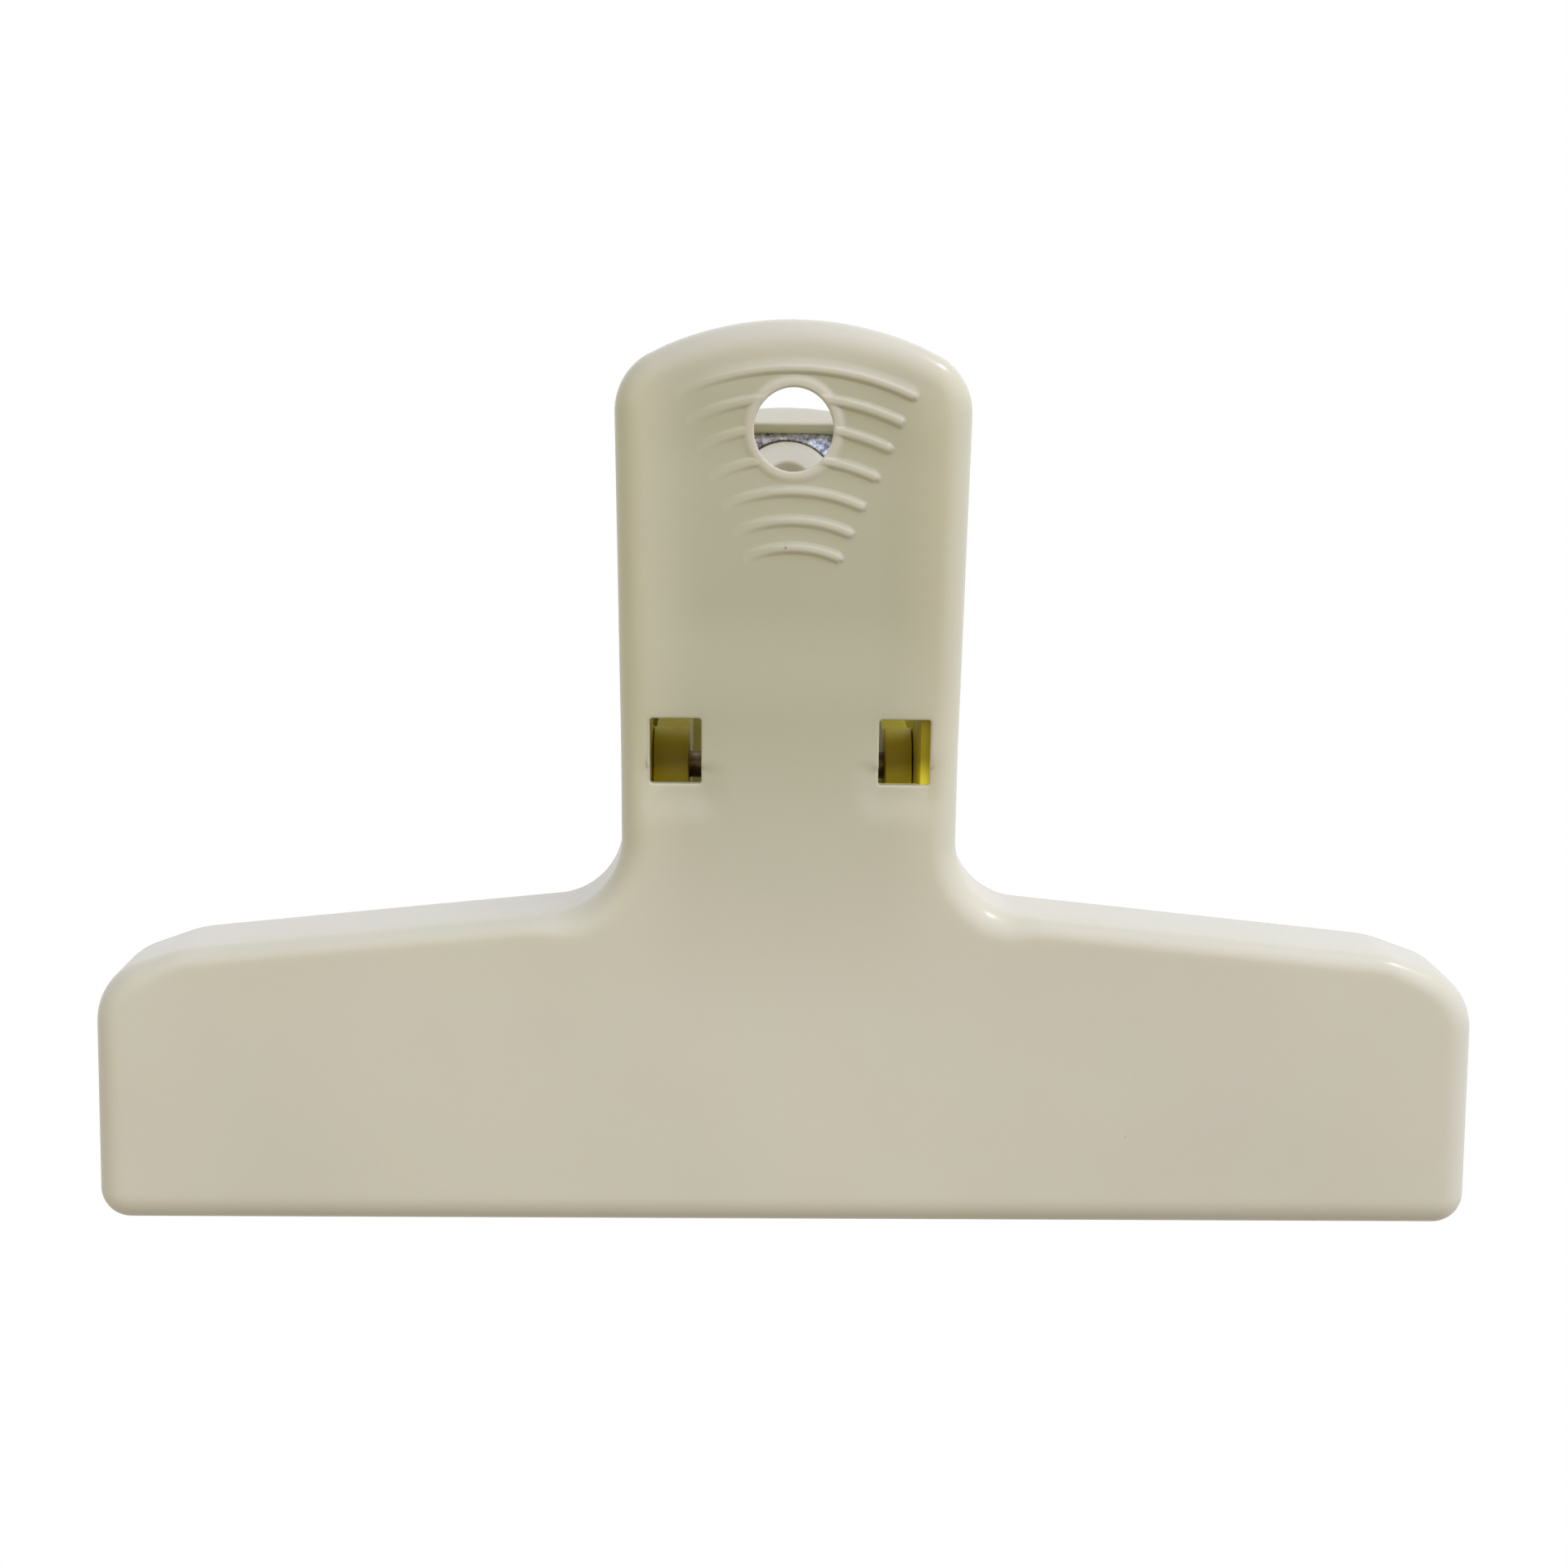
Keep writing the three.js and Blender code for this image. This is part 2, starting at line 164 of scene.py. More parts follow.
def tray_outline():
    def shoulder(x):
        return SHOULDER_Z + SHOULDER_SLOPE * (SHOULDER_X - x)

    def crown(x):
        return HANDLE_TOP - CROWN_R + math.sqrt(CROWN_R ** 2 - x * x)

    right = [
        (JAW_HALF, JAW_BOTTOM, JAW_LOW_R),
        (JAW_HALF - 0.35, CORNER_Z, CORNER_LOW_R),
        (CORNER_X, shoulder(CORNER_X), CORNER_TOP_R),
        (HALF_LOW, shoulder(HALF_LOW), NECK_R),
        (HALF_LOW, BEND_Z, 0),
        (HALF_TOP, crown(HALF_TOP - 0.6) - 0.1, CROWN_CORNER_R),
    ]
    pts = list(right)
    pts += [(x, crown(x), 0) for x in np.linspace(13.2, -13.2, 45)]
    pts += [(-x, z, r) for x, z, r in reversed(right)]
    return spaced(rounded(pts), 1.2)


def normals2(p):
    a = np.roll(p, 1, 0)
    b = np.roll(p, -1, 0)
    e0 = p - a
    e1 = b - p
    e0 /= np.linalg.norm(e0, axis=1)[:, None] + 1e-12
    e1 /= np.linalg.norm(e1, axis=1)[:, None] + 1e-12
    n = np.stack([-(e0[:, 1] + e1[:, 1]), e0[:, 0] + e1[:, 0]], -1)
    n /= np.linalg.norm(n, axis=1)[:, None] + 1e-12
    return n


def inside(poly, q):
    """Which of the points q lie inside the closed outline poly."""
    x, y = q[:, 0][:, None], q[:, 1][:, None]
    x0, y0 = poly[:, 0][None], poly[:, 1][None]
    x1, y1 = np.roll(poly[:, 0], -1)[None], np.roll(poly[:, 1], -1)[None]
    cross = (y0 > y) != (y1 > y)
    with np.errstate(divide="ignore", invalid="ignore"):
        xi = (x1 - x0) * (y - y0) / (y1 - y0) + x0
    return (np.sum(cross & (x < xi), 1) % 2) == 1


def distance(poly, q):
    """Distance of the points q to the closed outline poly."""
    best = np.full(len(q), 1e9)
    a = poly
    b = np.roll(poly, -1, 0)
    for s in range(0, len(q), 4000):
        p = q[s:s + 4000][:, None]
        d = (b - a)[None]
        t = np.clip(np.sum((p - a[None]) * d, 2) / (np.sum(d * d, 2) + 1e-12), 0, 1)
        c = a[None] + t[..., None] * d
        best[s:s + 4000] = np.min(np.linalg.norm(p - c, axis=2), 1)
    return best


class Builder:
    """Collects points and faces of one closed mesh, in mm."""

    def __init__(self):
        self.v = []
        self.f = []
        self.n = 0

    def add(self, pts):
        i = np.arange(self.n, self.n + len(pts))
        self.v.append(np.asarray(pts, float))
        self.n += len(pts)
        return i

    def strip(self, a, b):
        n = len(a)
        for k in range(n):
            self.f.append((int(a[k]), int(a[(k + 1) % n]), int(b[(k + 1) % n]), int(b[k])))

    def fan(self, loops, loop_ids, interior, place):
        """Fills the area between the first loop and the others with triangles that use all points."""
        pts = [p for lp in loops for p in lp] + list(interior)
        edges = []
        start = 0
        for lp in loops:
            n = len(lp)
            edges += [(start + k, start + (k + 1) % n) for k in range(n)]
            start += n
        vo, _, fo, ov, _, _ = delaunay_2d_cdt([Vector((float(p[0]), float(p[1]))) for p in pts], edges, [], 0, 1e-6)
        vo = np.array([(p.x, p.y) for p in vo])
        ids = np.full(len(vo), -1)
        flat = np.concatenate(loop_ids)
        new = []
        for k, src in enumerate(ov):
            src = [s for s in src]
            known = [s for s in src if s < len(flat)]
            if known:
                ids[k] = flat[known[0]]
            else:
                new.append(k)
        if new:
            ids[np.array(new)] = self.add(place(vo[new]))
        tri = np.array([t for t in fo if len(t) == 3])
        c = vo[tri].mean(1)
        ok = inside(np.array(loops[0]), c)
        for lp in loops[1:]:
            ok &= ~inside(np.array(lp), c)
        for t in tri[ok]:
            self.f.append(tuple(int(ids[k]) for k in t))

    def object(self, name, mats, turn=False, slots=None):
        co = np.concatenate(self.v) * MM
        if turn:
            co = co * np.array((-1.0, -1.0, 1.0))
        me = bpy.data.meshes.new(name)
        me.from_pydata([tuple(c) for c in co], [], self.f)
        bm = bmesh.new()
        bm.from_mesh(me)
        bmesh.ops.recalc_face_normals(bm, faces=bm.faces)
        for f in bm.faces:
            f.smooth = True
        bm.to_mesh(me)
        bm.free()
        for m in mats:
            me.materials.append(m)
        ob = bpy.data.objects.new(name, me)
        bpy.context.collection.objects.link(ob)
        return ob


# ------------------------------------------------------------------ front and rear relief
def ring_height(x, z):
    r = np.hypot(x, z - HOLE_Z)
    up = smooth(5.45, 4.65, r)
    return 0.27 * up


def ridge_height(x, z):
    r = np.hypot(x, z - RIDGE_Z)
    a = np.arctan2(x, z - RIDGE_Z)
    h = np.zeros_like(r)
    for rr in RIDGE_R:
        half = 0.52
        end = RIDGE_ANGLE * rr
        s = a * rr
        over = np.maximum(0, np.abs(s) - (end - half))
        d = np.hypot(r - rr, over)
        prof = np.sqrt(np.clip(1 - (d / half) ** 2, 0, 1))
        prof = prof * prof * (3 - 2 * prof)
        height = 0.42 * smooth(-1.04, 0.08, a / RIDGE_ANGLE)
        h = np.maximum(h, height * prof)
    return h


def dish(x, z):
    """The middle of the handle is dished a little."""
    across = smooth(17.3, 9.0, np.abs(x))
    along = smooth(55.0, 66.0, z) * smooth(91.0, 80.0, z)
    return 0.75 * across * along


def crown_roll(x, z):
    """Towards the crown the face rolls back before its rounding starts."""
    top = HANDLE_TOP - CROWN_R + np.sqrt(np.clip(CROWN_R ** 2 - x * x, 0, None))
    near = np.clip(9.0 - (top - z), 0, 9.0)
    return 0.0085 * near ** 2


def window_sink(x, z):
    """The face falls in a little towards the lower edge of each window."""
    out = np.zeros_like(x)
    for s in (-1, 1):
        cx = s * 12.2
        wx = smooth(5.6, 2.4, np.abs(x - cx))
        wz = np.where(z < 50, smooth(43.8, 47.4, z), smooth(56.3, 52.5, z) * 0.25)
        out += 0.42 * wx * np.clip(wz, 0, 1)
    return out


def ripple(x, z, k):
    """Very slight unevenness of a large moulded face."""
    return 0.03 * (np.sin(x * 0.11 + k) * np.cos(z * 0.17 + 2 * k) + 0.6 * np.sin(x * 0.043 + z * 0.09 + 3 * k))


def front_face(x, z):
    t = dish(x, z) + crown_roll(x, z) + window_sink(x, z) + ripple(x, z, 0.7)
    return t - np.maximum(ring_height(x, z), ridge_height(x, z))


def pad_height(x, z):
    # flat pad with round corners over the magnet
    r = np.where(z > 78.65, 7.0, 3.0)
    qx = np.abs(x) - (15.0 - r)
    qz = np.abs(z - 78.65) - (11.15 - r)
    d = np.hypot(np.maximum(qx, 0), np.maximum(qz, 0)) + np.minimum(np.maximum(qx, qz), 0) - r
    return 0.6 * smooth(0.15, -0.45, d)


def rear_face(x, z):
    return ripple(x, z, 2.1) * (1 - smooth(60, 66, z)) - pad_height(x, z)


def rim_depth(x, z0):
    """Depth of the rim: the closed jaws meet at the mid plane, the handle's rim stays 9 mm behind its face."""
    zb = BEND_Z + RIM * SP
    yb = -(LIP_Y + LEAN_JAW * BEND_Z) + RIM * CP

    def rim_y(z):
        low = np.full_like(z, -0.15)
        mid = -0.15 + (z - 35.0) * (yb + 0.15) / (zb - 35.0)
        high = yb - LEAN_HANDLE * (z - zb)
        y = np.minimum(low, np.minimum(mid, high))
        return y - 0.25 * np.exp(-((z - 35.0) / 1.5) ** 2) - 0.1 * np.exp(-((z - zb) / 1.5) ** 2)

    t = np.full_like(z0, 6.0)
    for _ in range(40):
        y = -depth_of(z0) + t * CP
        t += (rim_y(z0 + t * SP) - y) / CP * 0.8
    return t


def edge_radius(x, z):
    """Rounding from the face to the wall: a little tighter along the top of the jaw."""
    ax = np.abs(x)
    return EDGE_R - 1.15 * smooth(22.0, 28.5, ax) * smooth(75.0, 66.0, ax) * smooth(6.0, 12.0, z)


def tray(name, mats, face, hole_z, hole_r, hole_edge, ring_pts, front):
    b = Builder()
    out = tray_outline()
    nrm = normals2(out)
    R = edge_radius(out[:, 0], out[:, 1])
    draft = math.tan(math.radians(2.5))
    T = rim_depth(out[:, 0], out[:, 1])
    rise = np.sqrt(np.clip(CROWN_R ** 2 - out[:, 0] ** 2, 0, None)) - math.sqrt(CROWN_R ** 2 - 6.4 ** 2)
    extra = np.where((out[:, 1] > 80) & (not front), np.clip(rise, 0, None), 0.0)

    def at(inset, t):
        p = out + nrm * np.asarray(inset)[:, None]
        return p, t

    rings = []
    # rounding from face to wall
    steps = 9
    loops_face = None
    for k in range(steps + 1):
        th = math.pi / 2 * k / steps
        ins = draft * (T - R * (1 - math.cos(th))) + R * (1 - math.sin(th))
        p, _ = at(ins, None)
        t = R * (1 - math.cos(th)) + face(p[:, 0], p[:, 1]) * (1 - k / steps) ** 2
        if k == 0:
            loops_face = p
        rings.append(b.add(to_world(p[:, 0], p[:, 1], t)))
    # outer wall
    for k in range(1, 6):
        t = R + (T - 0.3 - R) * k / 5
        p, _ = at(draft * (T - t), None)
        rings.append(b.add(to_world(p[:, 0], p[:, 1], t)))
    # rim, rounded on both edges
    for ins, up in ((0.03, 0.17), (0.1, 0.08), (0.22, 0.015), (0.4, 0.0), (1.0, 0.0), (1.4, 0.0), (1.58, 0.015), (1.7, 0.08), (1.77, 0.17), (1.8, 0.3)):
        p, _ = at(ins + extra * float(smooth(0.9, 1.6, ins)), None)
        rings.append(b.add(to_world(p[:, 0], p[:, 1], T - up)))
    # inner wall and its fillet to the floor
    rf = 0.9
    for k in range(1, 5):
        t = (T - 0.3) + (WALL + rf - (T - 0.3)) * k / 4
        ins = 1.8 + 0.3 * k / 4
        p, _ = at(ins + extra, None)
        rings.append(b.add(to_world(p[:, 0], p[:, 1], t)))
    floor_loop = None
    for k in range(1, 5):
        th = math.pi / 2 * k / 4
        p, _ = at(2.1 + rf * (1 - math.cos(th)) + extra, None)
        floor_loop = p
        rings.append(b.add(to_world(p[:, 0], p[:, 1], np.full(len(out), WALL + rf * (1 - math.sin(th))))))
    for a, c in zip(rings[:-1], rings[1:]):
        b.strip(a, c)

    # windows and hanging hole: loops on the face, wall, loops on the floor
    def window_loop(s, grow):
        x0, x1, z0, z1 = WIN
        cx, hx = s * (x0 + x1) / 2, (x1 - x0) / 2 + grow
        cz, hz = (z0 + z1) / 2, (z1 - z0) / 2 + grow
        rr = 0.3 + max(0.0, grow)
        base = rounded([(cx - hx, cz - hz, rr), (cx + hx, cz - hz, rr), (cx + hx, cz + hz, rr), (cx - hx, cz + hz, rr)], 0.14)
        return base

    def even_loop(f0, grow):
        """Gives the loop that f0 makes for this growth."""
        return f0(grow)

    loops_out, ids_out, loops_in, ids_in = [], [], [], []
    for s in ((-1, 1) if front else ()):
        ref = spaced(window_loop(s, 0.0), 0.35)
        c = np.array((s * (WIN[0] + WIN[1]) / 2, (WIN[2] + WIN[3]) / 2))
        h = np.array(((WIN[1] - WIN[0]) / 2, (WIN[3] - WIN[2]) / 2))

        def grown(g):
            d = (ref - c) / h
            n = -normals2(ref)
            return ref + n * g

        prev = None
        for g, dt in ((0.26, 0.0), (0.17, 0.012), (0.08, 0.05), (0.02, 0.13), (0.0, 0.24)):
            p = grown(g)
            t = face(p[:, 0], p[:, 1]) + dt
            i = b.add(to_world(p[:, 0], p[:, 1], t))
            if prev is None:
                loops_out.append(p)
                ids_out.append(i)
            else:
                b.strip(prev, i)
            prev = i
        for k in range(1, 5):
            t = face(ref[:, 0], ref[:, 1]) + 0.24
            t = t + (WALL - 0.15 - t) * k / 4
            i = b.add(to_world(ref[:, 0], ref[:, 1], t))
            b.strip(prev, i)
            prev = i
        p = grown(0.15)
        i = b.add(to_world(p[:, 0], p[:, 1], np.full(len(p), WALL)))
        b.strip(prev, i)
        loops_in.append(p)
        ids_in.append(i)

    ang = np.linspace(0, 2 * math.pi, 96, endpoint=False)

    def circ(r):
        return np.stack([r * np.cos(ang), hole_z + r * np.sin(ang)], -1)

    prev = None
    for k in range(7):
        th = math.pi / 2 * k / 6
        p = circ(hole_r + hole_edge * (1 - math.sin(th)))
        base = face(*circ(hole_r + hole_edge).T)
        t = base + hole_edge * (1 - math.cos(th))
        i = b.add(to_world(p[:, 0], p[:, 1], t))
        if prev is None:
            loops_out.append(p)
            ids_out.append(i)
        else:
            b.strip(prev, i)
        prev = i
    for k in range(1, 5):
        p = circ(hole_r)
        t = base + hole_edge
        t = t + (WALL - 0.2 - t) * k / 4
        i = b.add(to_world(p[:, 0], p[:, 1], t))
        b.strip(prev, i)
        prev = i
    p = circ(hole_r + 0.2)
    i = b.add(to_world(p[:, 0], p[:, 1], np.full(len(p), WALL)))
    b.strip(prev, i)
    loops_in.append(p)
    ids_in.append(i)

    # points inside the outer face
    cand = []
    gx, gz = np.meshgrid(np.arange(-75, 75.1, 1.5), np.arange(1.5, 35, 1.5))
    cand.append(np.stack([gx.ravel(), gz.ravel()], -1))
    gx, gz = np.meshgrid(np.arange(-18, 18.01, 0.6), np.arange(33.5, 94, 0.6))
    g = np.stack([gx.ravel(), gz.ravel()], -1)
    rr = np.hypot(g[:, 0], g[:, 1] - RIDGE_Z)
    aa = np.arctan2(g[:, 0], g[:, 1] - RIDGE_Z)
    if front:
        g = g[~((rr > 10.8) & (rr < 31.4) & (np.abs(aa) < math.radians(29)) & (g[:, 1] > RIDGE_Z))]
    hr = np.hypot(g[:, 0], g[:, 1] - hole_z)
    g = g[hr > 6.3]
    cand.append(g)
    if front:
        rs = np.arange(10.9, 31.4, 0.15)
        for r in rs:
            n = int(2 * math.radians(29) * r / 0.32)
            a = np.linspace(-math.radians(28.8), math.radians(28.8), n)
            q = np.stack([r * np.sin(a), RIDGE_Z + r * np.cos(a)], -1)
            q = q[np.hypot(q[:, 0], q[:, 1] - hole_z) > 6.15]
            cand.append(q)
    fine = np.linspace(0, 2 * math.pi, 280, endpoint=False)
    for r in ring_pts:
        cand.append(np.stack([r * np.cos(fine), hole_z + r * np.sin(fine)], -1))
    if not front:
        # rings of points along the outline of the pad
        pad = []
        for off in (-0.5, -0.35, -0.2, -0.05, 0.1, 0.25):
            pad.append(spaced(rounded([(15 + off, 67.5 - off, 3 + off), (15 + off, 89.8 + off, 7 + off), (-15 - off, 89.8 + off, 7 + off), (-15 - off, 67.5 - off, 3 + off)], 0.3), 0.6))
        pad = np.concatenate(pad)
        cand.append(pad)
    cand = np.concatenate(cand)
    cand = cand[inside(loops_face, cand)]
    cand = cand[distance(loops_face, cand) > 0.45]
    for lp in loops_out:
        cand = cand[~inside(lp, cand)]
        cand = cand[distance(lp, cand) > 0.12]
    # extra rings near the edge keep the large face flat
    near = []
    for d in (0.5, 1.1):
        p, _ = at(draft * T + R + d, None)
        near.append(p)
    near = np.concatenate(near)
    keep = np.ones(len(near), bool)
    for lp in loops_out:
        keep &= ~inside(lp, near) & (distance(lp, near) > 0.3)
    cand = np.concatenate([cand[distance(loops_face, cand) > 1.4], near[keep]])
    b.fan([loops_face] + loops_out, [rings[0]] + ids_out, cand,
          lambda q: to_world(q[:, 0], q[:, 1], face(q[:, 0], q[:, 1])))

    # points inside the floor
    gx, gz = np.meshgrid(np.arange(-75, 75.1, 2.5), np.arange(2.0, 94, 2.2))
    cand = np.stack([gx.ravel(), gz.ravel()], -1)
    cand = cand[inside(floor_loop, cand)]
    cand = cand[distance(floor_loop, cand) > 0.8]
    for lp in loops_in:
        cand = cand[~inside(lp, cand)]
        cand = cand[distance(lp, cand) > 0.5]
    b.fan([floor_loop] + loops_in, [rings[-1]] + ids_in, cand,
          lambda q: to_world(q[:, 0], q[:, 1], np.full(len(q), WALL)))
    return b.object(name, mats, not front)


# ------------------------------------------------------------------ small closed pieces
def slab(profile, bore, x0, x1, edge=0.12):
    """A side profile (depth, height) with a round bore, thickened along X with eased edges."""
    b = Builder()
    prof = spaced(np.array(profile, float), 0.6)
    area = 0.5 * np.sum(prof[:, 0] * np.roll(prof[:, 1], -1) - np.roll(prof[:, 0], -1) * prof[:, 1])
    if area < 0:
        prof = prof[::-1]
    n = normals2(prof)
    a = np.linspace(0, 2 * math.pi, 40, endpoint=False)
    hole = np.stack([bore * np.cos(a), HINGE_Z + bore * np.sin(a)], -1)
    hn = np.stack([np.cos(a), np.sin(a)], -1)

    def place(q, x):
        return np.stack([np.full(len(q), x), q[:, 0], q[:, 1]], -1)

    steps = ((edge, 0.0), (edge * 0.5, edge * 0.13), (edge * 0.13, edge * 0.5), (0.0, edge))
    outer, holes = [], []
    for ins, up in steps:
        outer.append(b.add(place(prof + n * ins, x0 + up)))
        holes.append(b.add(place(hole + hn * ins * 0.5, x0 + up)))
    for ins, up in reversed(steps):
        outer.append(b.add(place(prof + n * ins, x1 - up)))
        holes.append(b.add(place(hole + hn * ins * 0.5, x1 - up)))
    for i in range(len(outer) - 1):
        b.strip(outer[i], outer[i + 1])
        b.strip(holes[i], holes[i + 1])
    for k, x in ((0, x0), (-1, x1)):
        lo = prof + n * edge
        lh = hole + hn * edge * 0.5
        b.fan([lo, lh], [outer[k], holes[k]], np.zeros((0, 2)), lambda q, x=x: place(q, x))
    return b


def ear_profile(r, square=2.0):
    d = math.radians
    p = [(-11.6, 42.5)]
    for t in np.linspace(d(-115), d(112), 32):
        c, e = math.cos(t), math.sin(t)
        q = r / (abs(c) ** square + abs(e) ** square) ** (1 / square)
        p.append((q * c, HINGE_Z + q * e))
    # sits in the wall of the tray
    p += [(-15.4, 59.5), (-14.9, 57.0), (-13.5, 51.0), (-12.5, 46.0)]
    return p


def tube_ring(prof, name, mats, turn):
    """A closed ring about the rear hole's axis; prof is a closed loop of (radius, depth)."""
    b = Builder()
    a = np.linspace(0, 2 * math.pi, 96, endpoint=False)
    rows = []
    for r, t in prof:
        rows.append(b.add(to_world(r * np.cos(a), BOSS_Z + r * np.sin(a), np.full(len(a), float(t)))))
    for i in range(len(rows)):
        b.strip(rows[i], rows[(i + 1) % len(rows)])
    return b.object(name, mats, turn)


def plate(name, mats, inset_d, low, t0, t1, hole_r, edge, corner, turn=True):
    """Flat block that follows the inside of the handle, with a round hole and eased edges."""
    b = Builder()
    out = tray_outline()
    p = out + normals2(out) * inset_d
    p = p[p[:, 1] > low + 3]
    # walk from the lowest point on the right over the crown to the lowest on the left
    start = int(np.argmin(np.where(p[:, 0] > 0, p[:, 1], 1e9)))
    top = np.roll(p, -start, 0)
    if top[1, 0] < 0:
        top = np.roll(top[::-1], 1, 0)
    right = top[0]
    left = top[-1]
    loop = [(left[0], low, corner), (right[0], low, corner)] + [(q[0], min(q[1], 92.4), 0) for q in top]
    loop = spaced(rounded(loop, 0.3), 1.0)
    n = normals2(loop)
    a = np.linspace(0, 2 * math.pi, 96, endpoint=False)
    hole = np.stack([hole_r * np.cos(a), BOSS_Z + hole_r * np.sin(a)], -1)
    hn = np.stack([np.cos(a), np.sin(a)], -1)
    steps = ((edge, 0.0), (edge * 0.5, edge * 0.13), (edge * 0.13, edge * 0.5), (0.0, edge))
    outer, holes = [], []

    def place(q, t):
        return to_world(q[:, 0], q[:, 1], np.full(len(q), t))

    for ins, up in steps:
        outer.append(b.add(place(loop + n * ins, t0 + up)))
        holes.append(b.add(place(hole + hn * ins, t0 + up)))
    for ins, up in reversed(steps):
        outer.append(b.add(place(loop + n * ins, t1 - up)))
        holes.append(b.add(place(hole + hn * ins, t1 - up)))
    for i in range(len(outer) - 1):
        b.strip(outer[i], outer[i + 1])
        b.strip(holes[i], holes[i + 1])
    for k, t in ((0, t0), (-1, t1)):
        lo = loop + n * edge
        lh = hole + hn * edge
        b.fan([lo, lh], [outer[k], holes[k]], np.zeros((0, 2)), lambda q, t=t: place(q, t))
    return b.object(name, mats, turn)


def wire(name, mats, pts, radius, sides=14):
    b = Builder()
    pts = np.asarray(pts, float)
    tan = np.gradient(pts, axis=0)
    tan /= np.linalg.norm(tan, axis=1)[:, None]
    up = np.cross(tan[0], (1.0, 0.0, 0.0))
    up /= np.linalg.norm(up)
    a = np.linspace(0, 2 * math.pi, sides, endpoint=False)
    rows = []
    n = len(pts)
    for i in range(n):
        up = up - tan[i] * (up @ tan[i])
        up /= np.linalg.norm(up)
        side = np.cross(tan[i], up)
        r = radius
        rows.append(b.add(pts[i] + r * (np.cos(a)[:, None] * up + np.sin(a)[:, None] * side)))
        if i in (0, n - 1):
            sgn = -1 if i == 0 else 1
            caps = []
            for rr, ax in ((0.86, 0.14), (0.5, 0.24), (0.18, 0.27)):
                caps.append(b.add(pts[i] + sgn * tan[i] * radius * ax * 2 + radius * rr * (np.cos(a)[:, None] * up + np.sin(a)[:, None] * side)))
            b.strip(rows[-1], caps[0])
            b.strip(caps[0], caps[1])
            b.strip(caps[1], caps[2])
            b.f.append(tuple(int(k) for k in caps[2]))
    for i in range(n - 1):
        b.strip(rows[i], rows[i + 1])
    return b.object(name, mats)


def spring_path():
    tip_y, tip_z, coil, turns, pitch = 16.0, 66.5, 3.6, 5, 2.05
    d = np.array((-tip_y, tip_z - HINGE_Z))
    d /= np.linalg.norm(d)
    for _ in range(20):
        s = np.array((-d[1], d[0])) * coil
        d = np.array((-tip_y, tip_z - HINGE_Z)) - s
        d /= np.linalg.norm(d)
    s = np.array((-d[1], d[0])) * coil
    a0 = math.atan2(s[1], s[0]) + 2 * math.pi
    a1 = 3 * math.pi - a0 + 2 * math.pi * turns
    n = (a1 - a0) / (2 * math.pi)
    span = n * pitch
    pts = []
    for t in np.linspace(0, 1, 14, endpoint=False):
        # the tip is bent over a little to lie on the handle
        y = -tip_y + (s[0] + tip_y) * t
        z = tip_z + (HINGE_Z + s[1] - tip_z) * t
        bend = max(0.0, 1 - t / 0.16)
        pts.append((-span / 2, y + 0.55 * bend ** 2, z + 0.25 * bend ** 2))
    m = int(n * 40)
    for k in range(m + 1):
        a = a0 + (a1 - a0) * k / m
        pts.append((-span / 2 + span * k / m, coil * math.cos(a), HINGE_Z + coil * math.sin(a)))
    ly, lz = pts[-1][1], pts[-1][2]
    for t in np.linspace(0, 1, 15)[1:]:
        bend = max(0.0, 1 - (1 - t) / 0.16)
        pts.append((span / 2, ly + (tip_y - ly) * t - 0.55 * bend ** 2, lz + (tip_z - lz) * t + 0.25 * bend ** 2))
    return np.array(pts), span


def pin(name, mats):
    b = Builder()
    a = np.linspace(0, 2 * math.pi, 40, endpoint=False)
    prof = [(0.35, -18.0), (1.1, -17.98), (1.3, -17.9), (1.44, -17.75), (1.5, -17.5)]
    prof += [(1.5, x) for x in np.linspace(-16.5, 16.5, 12)]
    prof += [(1.5, 17.5), (1.44, 17.75), (1.3, 17.9), (1.1, 17.98), (0.35, 18.0)]
    rows = [b.add(np.stack([np.full(len(a), x), r * np.cos(a), HINGE_Z + r * np.sin(a)], -1)) for r, x in prof]
    for i in range(len(rows) - 1):
        b.strip(rows[i], rows[i + 1])
    b.f.append(tuple(int(k) for k in rows[0]))
    b.f.append(tuple(int(k) for k in rows[-1]))
    return b.object(name, mats)


# ------------------------------------------------------------------ materials
def new_material(name):
    m = bpy.data.materials.new(name)
    m.use_nodes = True
    nt = m.node_tree
    nt.nodes.clear()
    out = nt.nodes.new("ShaderNodeOutputMaterial")
    bsdf = nt.nodes.new("ShaderNodeBsdfPrincipled")
    nt.links.new(bsdf.outputs[0], out.inputs[0])
    return m, nt, bsdf


def link(nt, a, b):
    nt.links.new(a, b)


def noise(nt, coords, scale, detail=3.0, rough=0.5, offset=(0, 0, 0)):
    mp = nt.nodes.new("ShaderNodeMapping")
    mp.inputs["Location"].default_value = offset
    link(nt, coords, mp.inputs["Vector"])
    n = nt.nodes.new("ShaderNodeTexNoise")
    n.inputs["Scale"].default_value = scale
    n.inputs["Detail"].default_value = detail
    n.inputs["Roughness"].default_value = rough
    link(nt, mp.outputs[0], n.inputs["Vector"])
    return n


def ramp(nt, value, stops):
    r = nt.nodes.new("ShaderNodeValToRGB")
    e = r.color_ramp.elements
    e[0].position, e[0].color = stops[0][0], (*stops[0][1], 1)
    e[1].position, e[1].color = stops[-1][0], (*stops[-1][1], 1)
    for pos, col in stops[1:-1]:
        k = e.new(pos)
        k.color = (*col, 1)
    link(nt, value, r.inputs[0])
    return r


